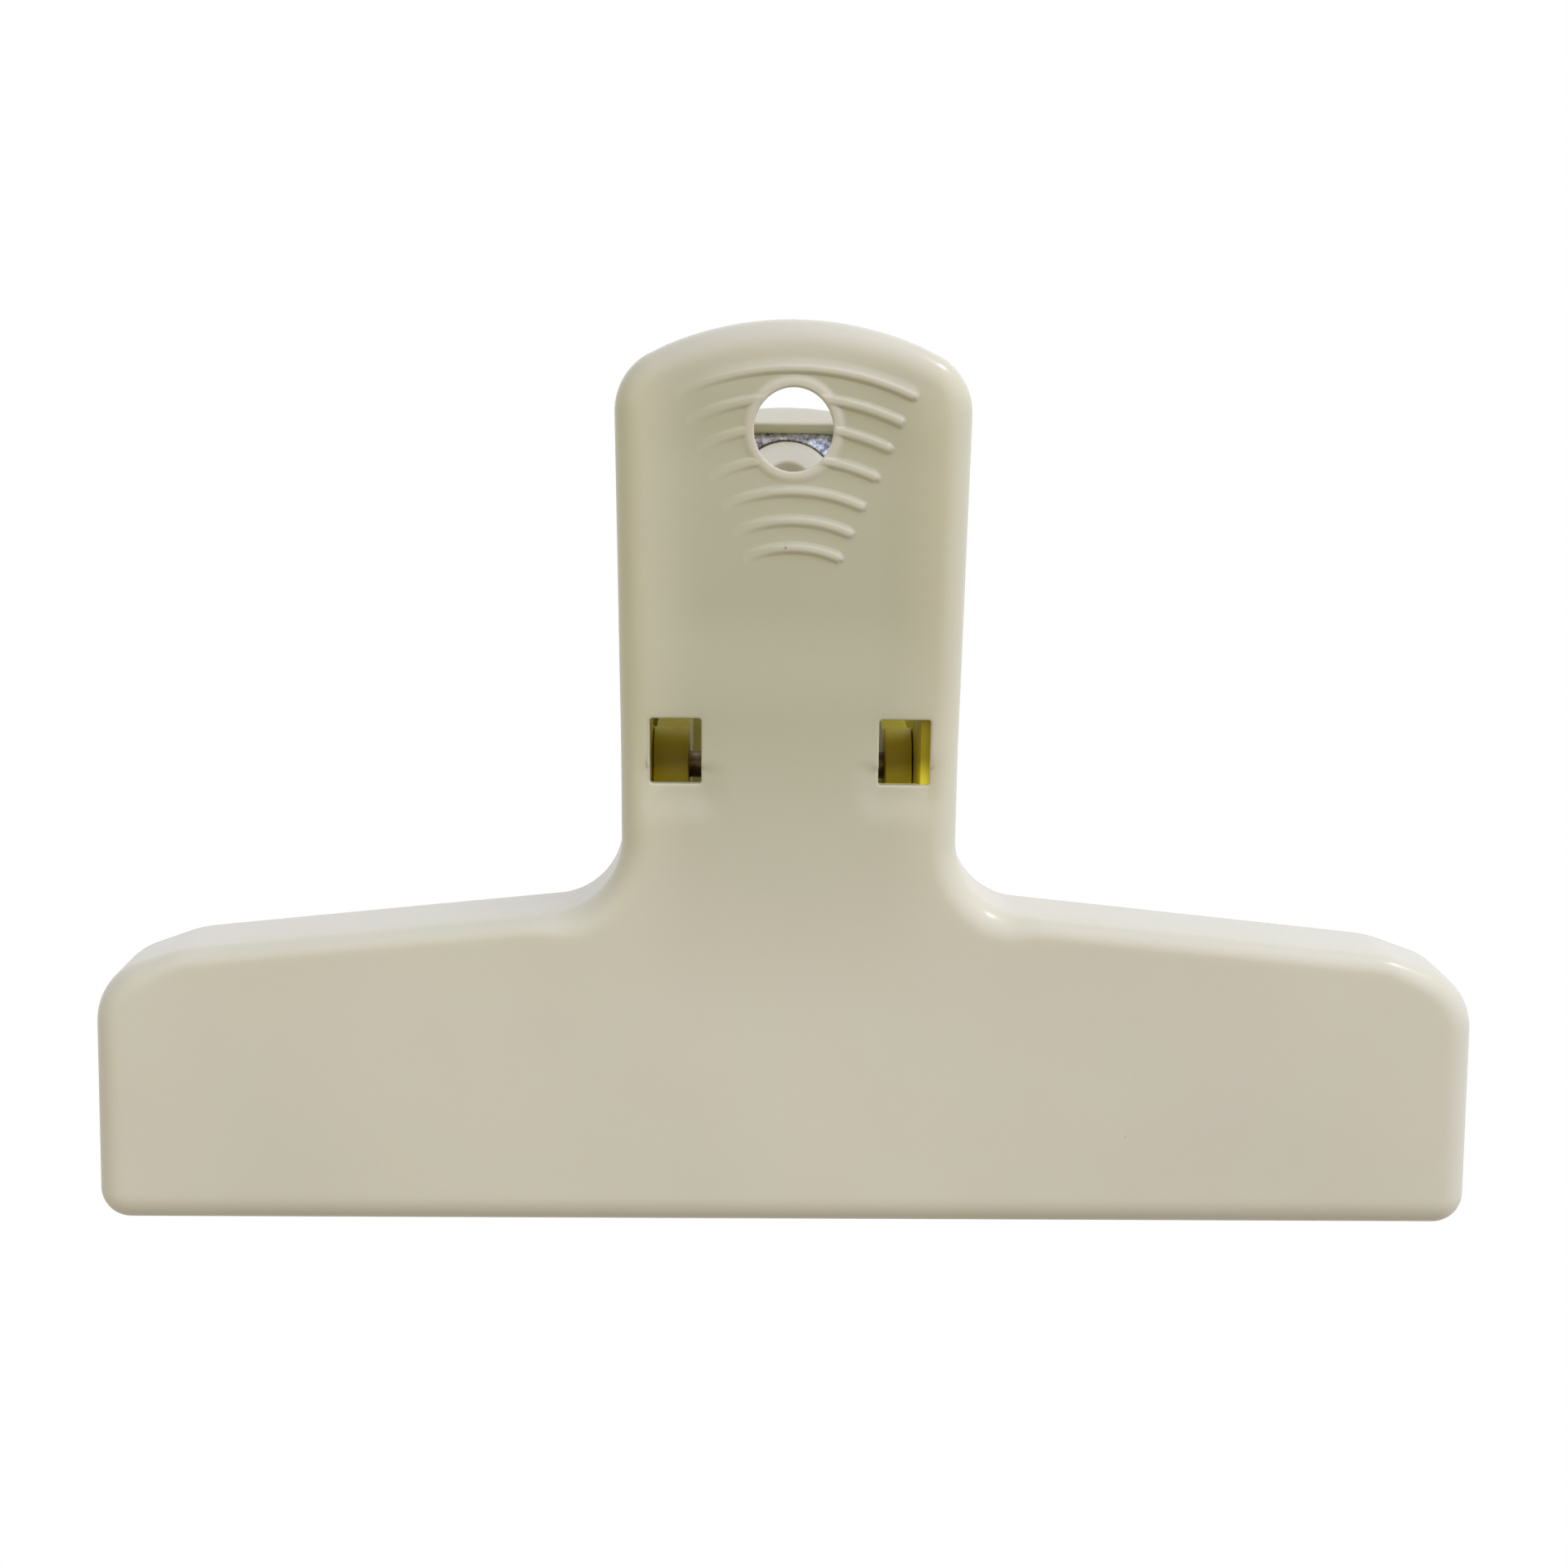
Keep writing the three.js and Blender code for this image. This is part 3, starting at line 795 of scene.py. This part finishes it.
def mix(nt, fac, a, b, blend="MIX"):
    m = nt.nodes.new("ShaderNodeMix")
    m.data_type = "RGBA"
    m.blend_type = blend
    if isinstance(fac, float):
        m.inputs["Factor"].default_value = fac
    else:
        link(nt, fac, m.inputs["Factor"])
    link(nt, a, m.inputs["A"])
    if isinstance(b, tuple):
        m.inputs["B"].default_value = (*b, 1)
    else:
        link(nt, b, m.inputs["B"])
    return m.outputs["Result"]


def maths(nt, op, a, b=None, clamp=False):
    m = nt.nodes.new("ShaderNodeMath")
    m.operation = op
    m.use_clamp = clamp
    for i, v in enumerate((a, b)):
        if v is None:
            continue
        if isinstance(v, (int, float)):
            m.inputs[i].default_value = v
        else:
            link(nt, v, m.inputs[i])
    return m.outputs[0]


def maprange(nt, v, a, b, c=0.0, d=1.0):
    m = nt.nodes.new("ShaderNodeMapRange")
    m.interpolation_type = "SMOOTHSTEP"
    link(nt, v, m.inputs["Value"])
    m.inputs["From Min"].default_value = a
    m.inputs["From Max"].default_value = b
    m.inputs["To Min"].default_value = c
    m.inputs["To Max"].default_value = d
    return m.outputs["Result"]


IVORY = (0.735, 0.700, 0.572)
IVORY_B = (0.760, 0.729, 0.602)
IVORY_C = (0.709, 0.678, 0.556)
POCKET_SHADE_GOLD = (0.760, 0.630, 0.050)


def plastic(name, seed, front):
    m, nt, bsdf = new_material(name)
    tc = nt.nodes.new("ShaderNodeTexCoord")
    co = tc.outputs["Object"]
    # broad mottling of the moulded ivory
    n1 = noise(nt, co, 22.0, 2.0, 0.5, (seed, 0, 0))
    col = ramp(nt, n1.outputs["Fac"], [(0.30, IVORY_C), (0.50, IVORY), (0.72, IVORY_B)]).outputs[0]
    n2 = noise(nt, co, 75.0, 4.0, 0.55, (0, seed, 0))
    tint = ramp(nt, n2.outputs["Fac"], [(0.35, (0.985, 1.0, 0.985)), (0.65, (1.0, 0.985, 0.99))]).outputs[0]
    col = mix(nt, 1.0, col, tint, "MULTIPLY")
    # place on the part: x across, z up, depth below the outer face
    pos = nt.nodes.new("ShaderNodeSeparateXYZ")
    link(nt, co, pos.inputs[0])
    x, z = pos.outputs[0], pos.outputs[2]
    ax = maths(nt, "ABSOLUTE", x)
    ay = maths(nt, "ABSOLUTE", pos.outputs[1])
    low = maths(nt, "ADD", maths(nt, "MULTIPLY", z, LEAN_JAW), LIP_Y * MM)
    bend = maths(nt, "MULTIPLY", maths(nt, "MAXIMUM", maths(nt, "SUBTRACT", z, BEND_Z * MM), 0.0), LEAN_HANDLE - LEAN_JAW)
    depth = maths(nt, "SUBTRACT", maths(nt, "ADD", low, bend), ay)
    # ridges and ring are left out of the painted shade of the handle, so they keep the lighter tone of the jaw
    if front:
        dz = maths(nt, "SUBTRACT", z, RIDGE_Z * MM)
        r = maths(nt, "SQRT", maths(nt, "ADD", maths(nt, "MULTIPLY", x, x), maths(nt, "MULTIPLY", dz, dz)))
        ang = maths(nt, "ABSOLUTE", maths(nt, "ARCTAN2", x, dz))
        light = None
        for rr in RIDGE_R:
            near = maprange(nt, maths(nt, "ABSOLUTE", maths(nt, "SUBTRACT", r, rr * MM)), 0.0006, 0.0002)
            light = near if light is None else maths(nt, "ADD", light, near)
        light = maths(nt, "MULTIPLY", light, maprange(nt, ang, RIDGE_ANGLE, RIDGE_ANGLE - 0.02))
        # painted light: the right ends of the ridges are spared more than the left ends, as the light falls from
        # the right
        light = maths(nt, "MULTIPLY", light, maprange(nt, maths(nt, "ARCTAN2", x, dz), -0.40, 0.15, 0.25, 0.85))
        hz0 = maths(nt, "SUBTRACT", z, HOLE_Z * MM)
        r2 = maths(nt, "SQRT", maths(nt, "ADD", maths(nt, "MULTIPLY", x, x), maths(nt, "MULTIPLY", hz0, hz0)))
        light = maths(nt, "MAXIMUM", light, maprange(nt, r2, 0.0055, 0.0047))
        light = maths(nt, "MULTIPLY", light, maprange(nt, depth, 0.0015, 0.0008))
        keep = maths(nt, "SUBTRACT", 1.0, light)
    # painted shade: each handle is darker and yellower in its middle than the jaws, where the shade falls
    hz = maths(nt, "MULTIPLY", maprange(nt, z, 0.018, 0.058), maprange(nt, z, 0.0950, 0.0865))
    hz = maths(nt, "MULTIPLY", hz, maprange(nt, depth, 0.0045, 0.0025))
    if front:
        hz = maths(nt, "MULTIPLY", hz, keep)
    hx = maths(nt, "MULTIPLY", hz, maprange(nt, ax, 0.0175, 0.0095))
    col = mix(nt, hz, col, (0.965, 0.975, 0.875), "MULTIPLY")
    col = mix(nt, hx, col, (0.838, 0.856, 0.848), "MULTIPLY")
    # a few specks of dust and dark grains in the plastic
    vor = nt.nodes.new("ShaderNodeTexVoronoi")
    vor.feature = "F1"
    vor.inputs["Scale"].default_value = 105.0
    mp = nt.nodes.new("ShaderNodeMapping")
    mp.inputs["Location"].default_value = (0, 0, seed)
    link(nt, co, mp.inputs["Vector"])
    link(nt, mp.outputs[0], vor.inputs["Vector"])
    spot = maprange(nt, vor.outputs["Distance"], 0.022, 0.010)
    sep = nt.nodes.new("ShaderNodeSeparateColor")
    link(nt, vor.outputs["Color"], sep.inputs[0])
    pick = maths(nt, "GREATER_THAN", sep.outputs[0], 0.80)
    spot = maths(nt, "MULTIPLY", maths(nt, "MULTIPLY", spot, pick), 0.55)
    col = mix(nt, spot, col, (0.24, 0.19, 0.12))
    # painted shade: inside the hinge pockets the plastic is coloured olive gold for the deep shade there, yellowed
    # by light through the plastic
    in_x = maths(nt, "MULTIPLY", maprange(nt, ax, 0.0083, 0.0092), maprange(nt, ax, 0.0175, 0.0165))
    in_z = maths(nt, "MULTIPLY", maprange(nt, z, 0.0430, 0.0460), maprange(nt, z, 0.0600, 0.0570))
    in_d = maprange(nt, depth, 0.0010, 0.0018)
    pocket_shade = maths(nt, "MULTIPLY", maths(nt, "MULTIPLY", maths(nt, "MULTIPLY", in_x, in_z), in_d), 1.0 if front else 0.96)
    n3 = noise(nt, co, 260.0, 3.0, 0.6, (seed, seed, 0))
    shade_gold = ramp(nt, n3.outputs["Fac"], [(0.3, (0.62, 0.50, 0.020)), (0.55, POCKET_SHADE_GOLD), (0.75, (0.78, 0.64, 0.05))]).outputs[0]
    # painted shade: the pockets on the left are darker, away from the light
    shade_gold = mix(nt, maprange(nt, x, 0.005, -0.005), shade_gold, (0.42, 0.40, 0.45), "MULTIPLY")
    col = mix(nt, pocket_shade, col, shade_gold)
    if not front:
        # painted light: the inside of the top wall is lighter and yellower, for light that comes through the wall
        # from above: a band along the crown, below the rim
        z0 = maths(nt, "SUBTRACT", maths(nt, "SUBTRACT", z, maths(nt, "MULTIPLY", depth, 0.1994)), (HANDLE_TOP - CROWN_R) * MM)
        rc = maths(nt, "SQRT", maths(nt, "ADD", maths(nt, "MULTIPLY", x, x), maths(nt, "MULTIPLY", z0, z0)))
        top = maths(nt, "MULTIPLY", maprange(nt, rc, 0.0320, 0.0324), maprange(nt, rc, 0.0344, 0.0340))
        top = maths(nt, "MULTIPLY", top, maprange(nt, z0, 0.0260, 0.0275))
        top = maths(nt, "MULTIPLY", top, maprange(nt, depth, 0.0018, 0.0026))
        top = maths(nt, "MULTIPLY", top, maprange(nt, depth, 0.0093, 0.0090))
        col = mix(nt, top, col, (0.76, 0.75, 0.52))
    link(nt, col, bsdf.inputs["Base Color"])
    # semi-gloss with slight variation
    n4 = noise(nt, co, 120.0, 4.0, 0.6, (seed, 0, seed))
    rough = maprange(nt, n4.outputs["Fac"], 0.3, 0.7, 0.19, 0.25)
    rough = maths(nt, "ADD", rough, maths(nt, "MULTIPLY", pocket_shade, 0.5))
    link(nt, rough, bsdf.inputs["Roughness"])
    bsdf.inputs["IOR"].default_value = 1.49
    bsdf.inputs["Subsurface Weight"].default_value = 0.12
    bsdf.inputs["Subsurface Radius"].default_value = (1.0, 0.75, 0.35)
    bsdf.inputs["Subsurface Scale"].default_value = 0.0015
    # moulding texture: slow waves and a fine grain
    wave = noise(nt, co, 60.0, 2.0, 0.5, (0, 0, seed))
    grain = noise(nt, co, 1500.0, 2.0, 0.6)
    b1 = nt.nodes.new("ShaderNodeBump")
    b1.inputs["Strength"].default_value = 0.25
    b1.inputs["Distance"].default_value = 0.00025
    link(nt, wave.outputs["Fac"], b1.inputs["Height"])
    b2 = nt.nodes.new("ShaderNodeBump")
    b2.inputs["Strength"].default_value = 0.08
    b2.inputs["Distance"].default_value = 0.00005
    link(nt, grain.outputs["Fac"], b2.inputs["Height"])
    link(nt, b1.outputs[0], b2.inputs["Normal"])
    link(nt, b2.outputs[0], bsdf.inputs["Normal"])
    return m


def hinge_plastic(name, seed):
    """Ears, ribs and lugs: ivory, with olive gold and no gloss on the side that faces the windows: painted shade,
    yellowed by light through the plastic.
    """
    m, nt, bsdf = new_material(name)
    tc = nt.nodes.new("ShaderNodeTexCoord")
    co = tc.outputs["Object"]
    n = noise(nt, co, 170.0, 3.0, 0.55, (seed, 0, 0))
    shade_gold = ramp(nt, n.outputs["Fac"], [(0.3, (0.600, 0.500, 0.015)), (0.5, (0.680, 0.550, 0.025)), (0.7, (0.740, 0.590, 0.040))]).outputs[0]
    pos = nt.nodes.new("ShaderNodeSeparateXYZ")
    link(nt, co, pos.inputs[0])
    x, y, z = pos.outputs
    # painted shade: darker on the left side, away from the light
    shade_gold = mix(nt, maprange(nt, x, 0.005, -0.005), shade_gold, (0.82, 0.80, 0.82), "MULTIPLY")
    # painted light and shade: the round front of each lug is darker above and lighter below, to even out the shade
    # on its lower half
    high = maprange(nt, z, 0.0484, 0.0514)
    shade_gold = mix(nt, high, mix(nt, 1.0, shade_gold, (1.40, 1.46, 2.60), "MULTIPLY"), mix(nt, 1.0, shade_gold, (0.61, 0.59, 0.56), "MULTIPLY"))
    col = ramp(nt, n.outputs["Fac"], [(0.3, IVORY_C), (0.7, IVORY)]).outputs[0]
    ax = maths(nt, "ABSOLUTE", x)
    geo = nt.nodes.new("ShaderNodeNewGeometry")
    gn = nt.nodes.new("ShaderNodeSeparateXYZ")
    link(nt, geo.outputs["True Normal"], gn.inputs[0])
    flank = maprange(nt, maths(nt, "ABSOLUTE", gn.outputs[0]), 0.5, 0.8)
    hinge_shade = maths(nt, "MAXIMUM", maprange(nt, y, 0.0014, -0.0008), maths(nt, "SUBTRACT", 1.0, maths(nt, "MULTIPLY", flank, 0.35)))
    hinge_shade = maths(nt, "MULTIPLY", hinge_shade, maths(nt, "MULTIPLY", maprange(nt, ax, 0.0164, 0.0158), maprange(nt, ax, 0.0096, 0.0104)))
    hinge_shade = maths(nt, "MULTIPLY", hinge_shade, maprange(nt, z, 0.0620, 0.0590))
    col = mix(nt, hinge_shade, col, shade_gold)
    link(nt, col, bsdf.inputs["Base Color"])
    n2 = noise(nt, co, 420.0, 3.0, 0.6, (0, seed, 0))
    link(nt, maprange(nt, n2.outputs["Fac"], 0.3, 0.7, 0.35, 0.5), bsdf.inputs["Roughness"])
    bsdf.inputs["Specular IOR Level"].default_value = 0.2
    b = nt.nodes.new("ShaderNodeBump")
    b.inputs["Strength"].default_value = 0.25
    b.inputs["Distance"].default_value = 0.0001
    link(nt, n2.outputs["Fac"], b.inputs["Height"])
    link(nt, b.outputs[0], bsdf.inputs["Normal"])
    return m


def metal(name, base, dark, rough, scale, stretch, bump):
    m, nt, bsdf = new_material(name)
    tc = nt.nodes.new("ShaderNodeTexCoord")
    mp = nt.nodes.new("ShaderNodeMapping")
    mp.inputs["Scale"].default_value = stretch
    link(nt, tc.outputs["Object"], mp.inputs["Vector"])
    n = noise(nt, mp.outputs[0], scale, 5.0, 0.6)
    col = ramp(nt, n.outputs["Fac"], [(0.3, dark), (0.7, base)]).outputs[0]
    link(nt, col, bsdf.inputs["Base Color"])
    r = maprange(nt, n.outputs["Fac"], 0.3, 0.7, rough + 0.12, rough - 0.05)
    link(nt, r, bsdf.inputs["Roughness"])
    bsdf.inputs["Metallic"].default_value = 1.0
    b = nt.nodes.new("ShaderNodeBump")
    b.inputs["Strength"].default_value = bump
    b.inputs["Distance"].default_value = 0.00005
    link(nt, n.outputs["Fac"], b.inputs["Height"])
    link(nt, b.outputs[0], bsdf.inputs["Normal"])
    return m


def zinc(name):
    """Bright plated sheet with a fine crystalline speckle, darker and browner towards its left side: a painted dark
    reflection.
    """
    m, nt, bsdf = new_material(name)
    tc = nt.nodes.new("ShaderNodeTexCoord")
    co = tc.outputs["Object"]
    n = noise(nt, co, 1500.0, 3.0, 0.65)
    col = ramp(nt, n.outputs["Fac"], [(0.34, (0.16, 0.15, 0.16)), (0.46, (0.40, 0.41, 0.46)), (0.57, (0.60, 0.63, 0.72)), (0.70, (0.86, 0.88, 0.95))]).outputs[0]
    pos = nt.nodes.new("ShaderNodeSeparateXYZ")
    link(nt, co, pos.inputs[0])
    # painted reflection: darker and browner towards the left
    dark_reflection = maprange(nt, pos.outputs[0], 0.0035, -0.0015)
    col = mix(nt, dark_reflection, col, (0.86, 0.79, 0.70), "MULTIPLY")
    link(nt, col, bsdf.inputs["Base Color"])
    link(nt, maprange(nt, n.outputs["Fac"], 0.3, 0.7, 0.60, 0.38), bsdf.inputs["Roughness"])
    bsdf.inputs["Metallic"].default_value = 1.0
    b = nt.nodes.new("ShaderNodeBump")
    b.inputs["Strength"].default_value = 0.9
    b.inputs["Distance"].default_value = 0.00012
    link(nt, n.outputs["Fac"], b.inputs["Height"])
    link(nt, b.outputs[0], bsdf.inputs["Normal"])
    return m


def ferrite(name):
    m, nt, bsdf = new_material(name)
    tc = nt.nodes.new("ShaderNodeTexCoord")
    n = noise(nt, tc.outputs["Object"], 900.0, 4.0, 0.7)
    col = ramp(nt, n.outputs["Fac"], [(0.3, (0.018, 0.018, 0.020)), (0.75, (0.055, 0.055, 0.060))]).outputs[0]
    link(nt, col, bsdf.inputs["Base Color"])
    link(nt, maprange(nt, n.outputs["Fac"], 0.3, 0.7, 0.55, 0.75), bsdf.inputs["Roughness"])
    b = nt.nodes.new("ShaderNodeBump")
    b.inputs["Strength"].default_value = 0.4
    b.inputs["Distance"].default_value = 0.00008
    link(nt, n.outputs["Fac"], b.inputs["Height"])
    link(nt, b.outputs[0], bsdf.inputs["Normal"])
    return m


# ------------------------------------------------------------------ pieces
make_camera()
mat_front = plastic("ivory_front", 1.7, True)
mat_rear = plastic("ivory_rear", 4.3, False)
mat_hinge_front = hinge_plastic("hinge_front_painted_shade", 2.2)
mat_hinge_rear = hinge_plastic("hinge_rear_painted_shade", 6.1)
mat_pin = metal("pin_steel", (0.34, 0.24, 0.15), (0.07, 0.035, 0.014), 0.42, 420.0, (1, 1, 1), 0.4)
mat_spring = metal("spring_steel", (0.50, 0.50, 0.51), (0.30, 0.30, 0.31), 0.30, 400.0, (1, 1, 1), 0.3)
mat_plate = zinc("zinc_plate")
mat_ferrite = ferrite("ferrite")

front = tray("front_tray", [mat_front], front_face, HOLE_Z, HOLE_R, 0.25,
             [4.5, 4.66, 4.8, 4.94, 5.08, 5.22, 5.36, 5.5, 5.64, 5.78, 5.95, 6.1], True)
rear = tray("rear_tray", [mat_rear], rear_face, BOSS_Z, BORE_R, 0.35, [3.5, 4.2, 5.1, 6.1], False)
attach(front, "front_half")
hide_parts("front_shell")
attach(rear, "rear_half")
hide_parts("rear_shell")

for nm, x0, x1 in (("front_rib_left", -9.2, -7.2), ("front_rib_right", 7.2, 9.2), ("front_ear_left", -16.8, -15.2), ("front_ear_right", 14.0, 16.8)):
    o = slab(ear_profile(4.4), 1.56, x0, x1).object(nm, [mat_hinge_front])
    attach(o, "front_half")
for nm, x0, x1 in (("rear_lug_right", -13.85, -10.9), ("rear_lug_left", 11.2, 15.1)):
    o = slab(ear_profile(4.2, 3.0), 1.58, x0, x1).object(nm, [mat_hinge_rear], turn=True)
    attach(o, "rear_half")

boss = tube_ring([(2.9, 1.4), (2.9, 3.0), (2.9, 5.0), (2.9, 6.35), (2.95, 6.62), (3.09, 6.83), (3.36, 6.9), (4.9, 6.9), (5.5, 6.88),
                  (5.78, 6.78), (5.91, 6.6), (5.95, 6.35), (5.95, 5.0), (5.96, 3.0), (5.98, 1.4)], "rear_boss", [mat_rear], True)
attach(boss, "rear_half")

kp = plate("steel_keeper", [mat_plate], 2.3, 70.6, 5.5, 6.7, 6.1, 0.22, 1.0)
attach(kp, "rear_half")
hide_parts("keeper_plate")
mg = plate("ferrite_block", [mat_ferrite], 2.3, 70.6, 2.35, 5.15, 6.3, 0.3, 0.8)
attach(mg, "rear_half")
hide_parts("magnet_block")

pn = pin("steel_pin", [mat_pin])
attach(pn, "rear_half")
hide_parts("hinge_pin")

path, span = spring_path()
sp = wire("coil_spring", [mat_spring], path, 0.8)
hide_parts("torsion_spring")
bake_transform(sp)


# ------------------------------------------------------------------ floor, backdrop and light
def stage_mesh(name, verts, faces, glow):
    """Floor and backdrop glow plain white, and leave the lighting of the object to the studio's world."""
    m = bpy.data.materials.new(name)
    m.use_nodes = True
    nt = m.node_tree
    nt.nodes.clear()
    out = nt.nodes.new("ShaderNodeOutputMaterial")
    em = nt.nodes.new("ShaderNodeEmission")
    em.inputs[0].default_value = (1.0, 1.0, 1.0, 1.0)
    em.inputs[1].default_value = glow
    nt.links.new(em.outputs[0], out.inputs[0])
    me = bpy.data.meshes.new(name)
    me.from_pydata(verts, [], faces)
    me.materials.append(m)
    o = bpy.data.objects.new(name, me)
    bpy.context.collection.objects.link(o)
    o.visible_diffuse = False
    o.visible_glossy = False
    o.visible_transmission = False
    o.visible_shadow = False
    return o


ring = [(2.9 * math.cos(a), 2.9 * math.sin(a)) for a in np.linspace(0, 2 * math.pi, 64, endpoint=False)]
stage_mesh("floor", [(x, y, -0.0004) for x, y in ring], [tuple(range(64))], 1.0)
bv, bf = [], []
for e in np.linspace(-0.2, math.pi / 2 - 0.02, 16):
    bv += [(x * math.cos(e), y * math.cos(e), 2.9 * math.sin(e)) for x, y in ring]
for i in range(15):
    bf += [(i * 64 + k, i * 64 + (k + 1) % 64, (i + 1) * 64 + (k + 1) % 64, (i + 1) * 64 + k) for k in range(64)]
bf.append(tuple(15 * 64 + k for k in range(64)))
stage_mesh("backdrop", bv, bf, 1.0)

# soft boxes all round, as lobes (direction, sharpness, colour)
LOBES = [
    ((-0.682, 0.394, -0.616), 6, (0.300, 0.290, 0.270)),
    ((-0.682, -0.394, -0.616), 6, (0.226, 0.146, 0.000)),
    ((0.682, 0.394, -0.616), 6, (0.300, 0.290, 0.270)),
    ((0.000, 0.788, -0.616), 6, (0.300, 0.290, 0.270)),
    ((-0.342, 0.938, 0.052), 6, (0.362, 0.354, 0.358)),
    ((-0.865, 0.499, 0.052), 6, (0.417, 0.414, 0.412)),
    ((-0.642, -0.765, 0.052), 6, (0.717, 0.737, 0.547)),
    ((0.000, -0.999, 0.052), 6, (0.554, 0.461, 0.318)),
    ((0.642, -0.765, 0.052), 6, (0.866, 0.822, 0.829)),
    ((0.983, -0.173, 0.052), 6, (0.400, 0.432, 0.569)),
    ((0.865, 0.499, 0.052), 6, (0.428, 0.431, 0.435)),
    ((0.342, 0.938, 0.052), 6, (0.385, 0.385, 0.391)),
    ((-0.542, 0.542, 0.643), 6, (0.373, 0.363, 0.365)),
    ((-0.542, -0.542, 0.643), 6, (0.000, 0.003, 0.150)),
    ((0.000, -0.766, 0.643), 6, (0.379, 0.436, 0.661)),
    ((0.542, -0.542, 0.643), 6, (0.963, 0.955, 1.084)),
    ((0.766, -0.000, 0.643), 6, (0.404, 0.460, 0.461)),
    ((0.542, 0.542, 0.643), 6, (0.414, 0.415, 0.417)),
    ((0.000, 0.766, 0.643), 6, (0.345, 0.338, 0.343)),
    ((0.000, -0.375, 0.927), 6, (0.000, 0.055, 0.128)),
    ((0.000, 0.375, 0.927), 6, (0.402, 0.399, 0.399)),
    ((0.694, -0.583, 0.423), 30, (0.108, 0.076, 0.150)),
    ((0.740, -0.198, 0.643), 30, (0.217, 0.242, 0.165)),
    ((0.441, -0.161, 0.883), 30, (0.298, 0.296, 0.163)),
    ((0.196, -0.539, 0.819), 30, (0.083, 0.106, 0.205)),
    ((-0.287, -0.497, 0.819), 30, (0.000, 0.000, 0.052)),
]


def studio(lobes):
    w = bpy.data.worlds.new("studio")
    bpy.context.scene.world = w
    w.use_nodes = True
    nt = w.node_tree
    nt.nodes.clear()
    out = nt.nodes.new("ShaderNodeOutputWorld")
    bg = nt.nodes.new("ShaderNodeBackground")
    nt.links.new(bg.outputs[0], out.inputs[0])
    tc = nt.nodes.new("ShaderNodeTexCoord")
    total = None
    for d, k, col in lobes:
        dv = Vector(d).normalized()
        dot = nt.nodes.new("ShaderNodeVectorMath")
        dot.operation = "DOT_PRODUCT"
        nt.links.new(tc.outputs["Generated"], dot.inputs[0])
        dot.inputs[1].default_value = dv
        f = nt.nodes.new("ShaderNodeMath")
        f.operation = "MULTIPLY_ADD"
        nt.links.new(dot.outputs["Value"], f.inputs[0])
        f.inputs[1].default_value = k
        f.inputs[2].default_value = -k
        e = nt.nodes.new("ShaderNodeMath")
        e.operation = "EXPONENT"
        nt.links.new(f.outputs[0], e.inputs[0])
        sc = nt.nodes.new("ShaderNodeVectorMath")
        sc.operation = "SCALE"
        sc.inputs[0].default_value = col
        nt.links.new(e.outputs[0], sc.inputs["Scale"])
        if total is None:
            total = sc.outputs[0]
        else:
            add = nt.nodes.new("ShaderNodeVectorMath")
            add.operation = "ADD"
            nt.links.new(total, add.inputs[0])
            nt.links.new(sc.outputs[0], add.inputs[1])
            total = add.outputs[0]
    nt.links.new(total, bg.inputs[0])
    bg.inputs[1].default_value = 1.0


studio(LOBES)

# a small lamp high on the right gives the crisp highlights along the rounded edges
lamp = bpy.data.lights.new("key", "SUN")
lamp.energy = 0.52
lamp.angle = math.radians(5.0)
lamp.color = (1.0, 1.0, 0.97)
key = bpy.data.objects.new("key", lamp)
az, el = math.radians(68.0), math.radians(47.8)
key.rotation_euler = Vector((math.sin(az) * math.cos(el), -math.cos(az) * math.cos(el), math.sin(el))).to_track_quat("Z", "Y").to_euler()
key.visible_diffuse = False
bpy.context.collection.objects.link(key)

vs = bpy.context.scene.view_settings
vs.view_transform = "Standard"
vs.look = "None"
vs.exposure = 0.0
vs.gamma = 1.0
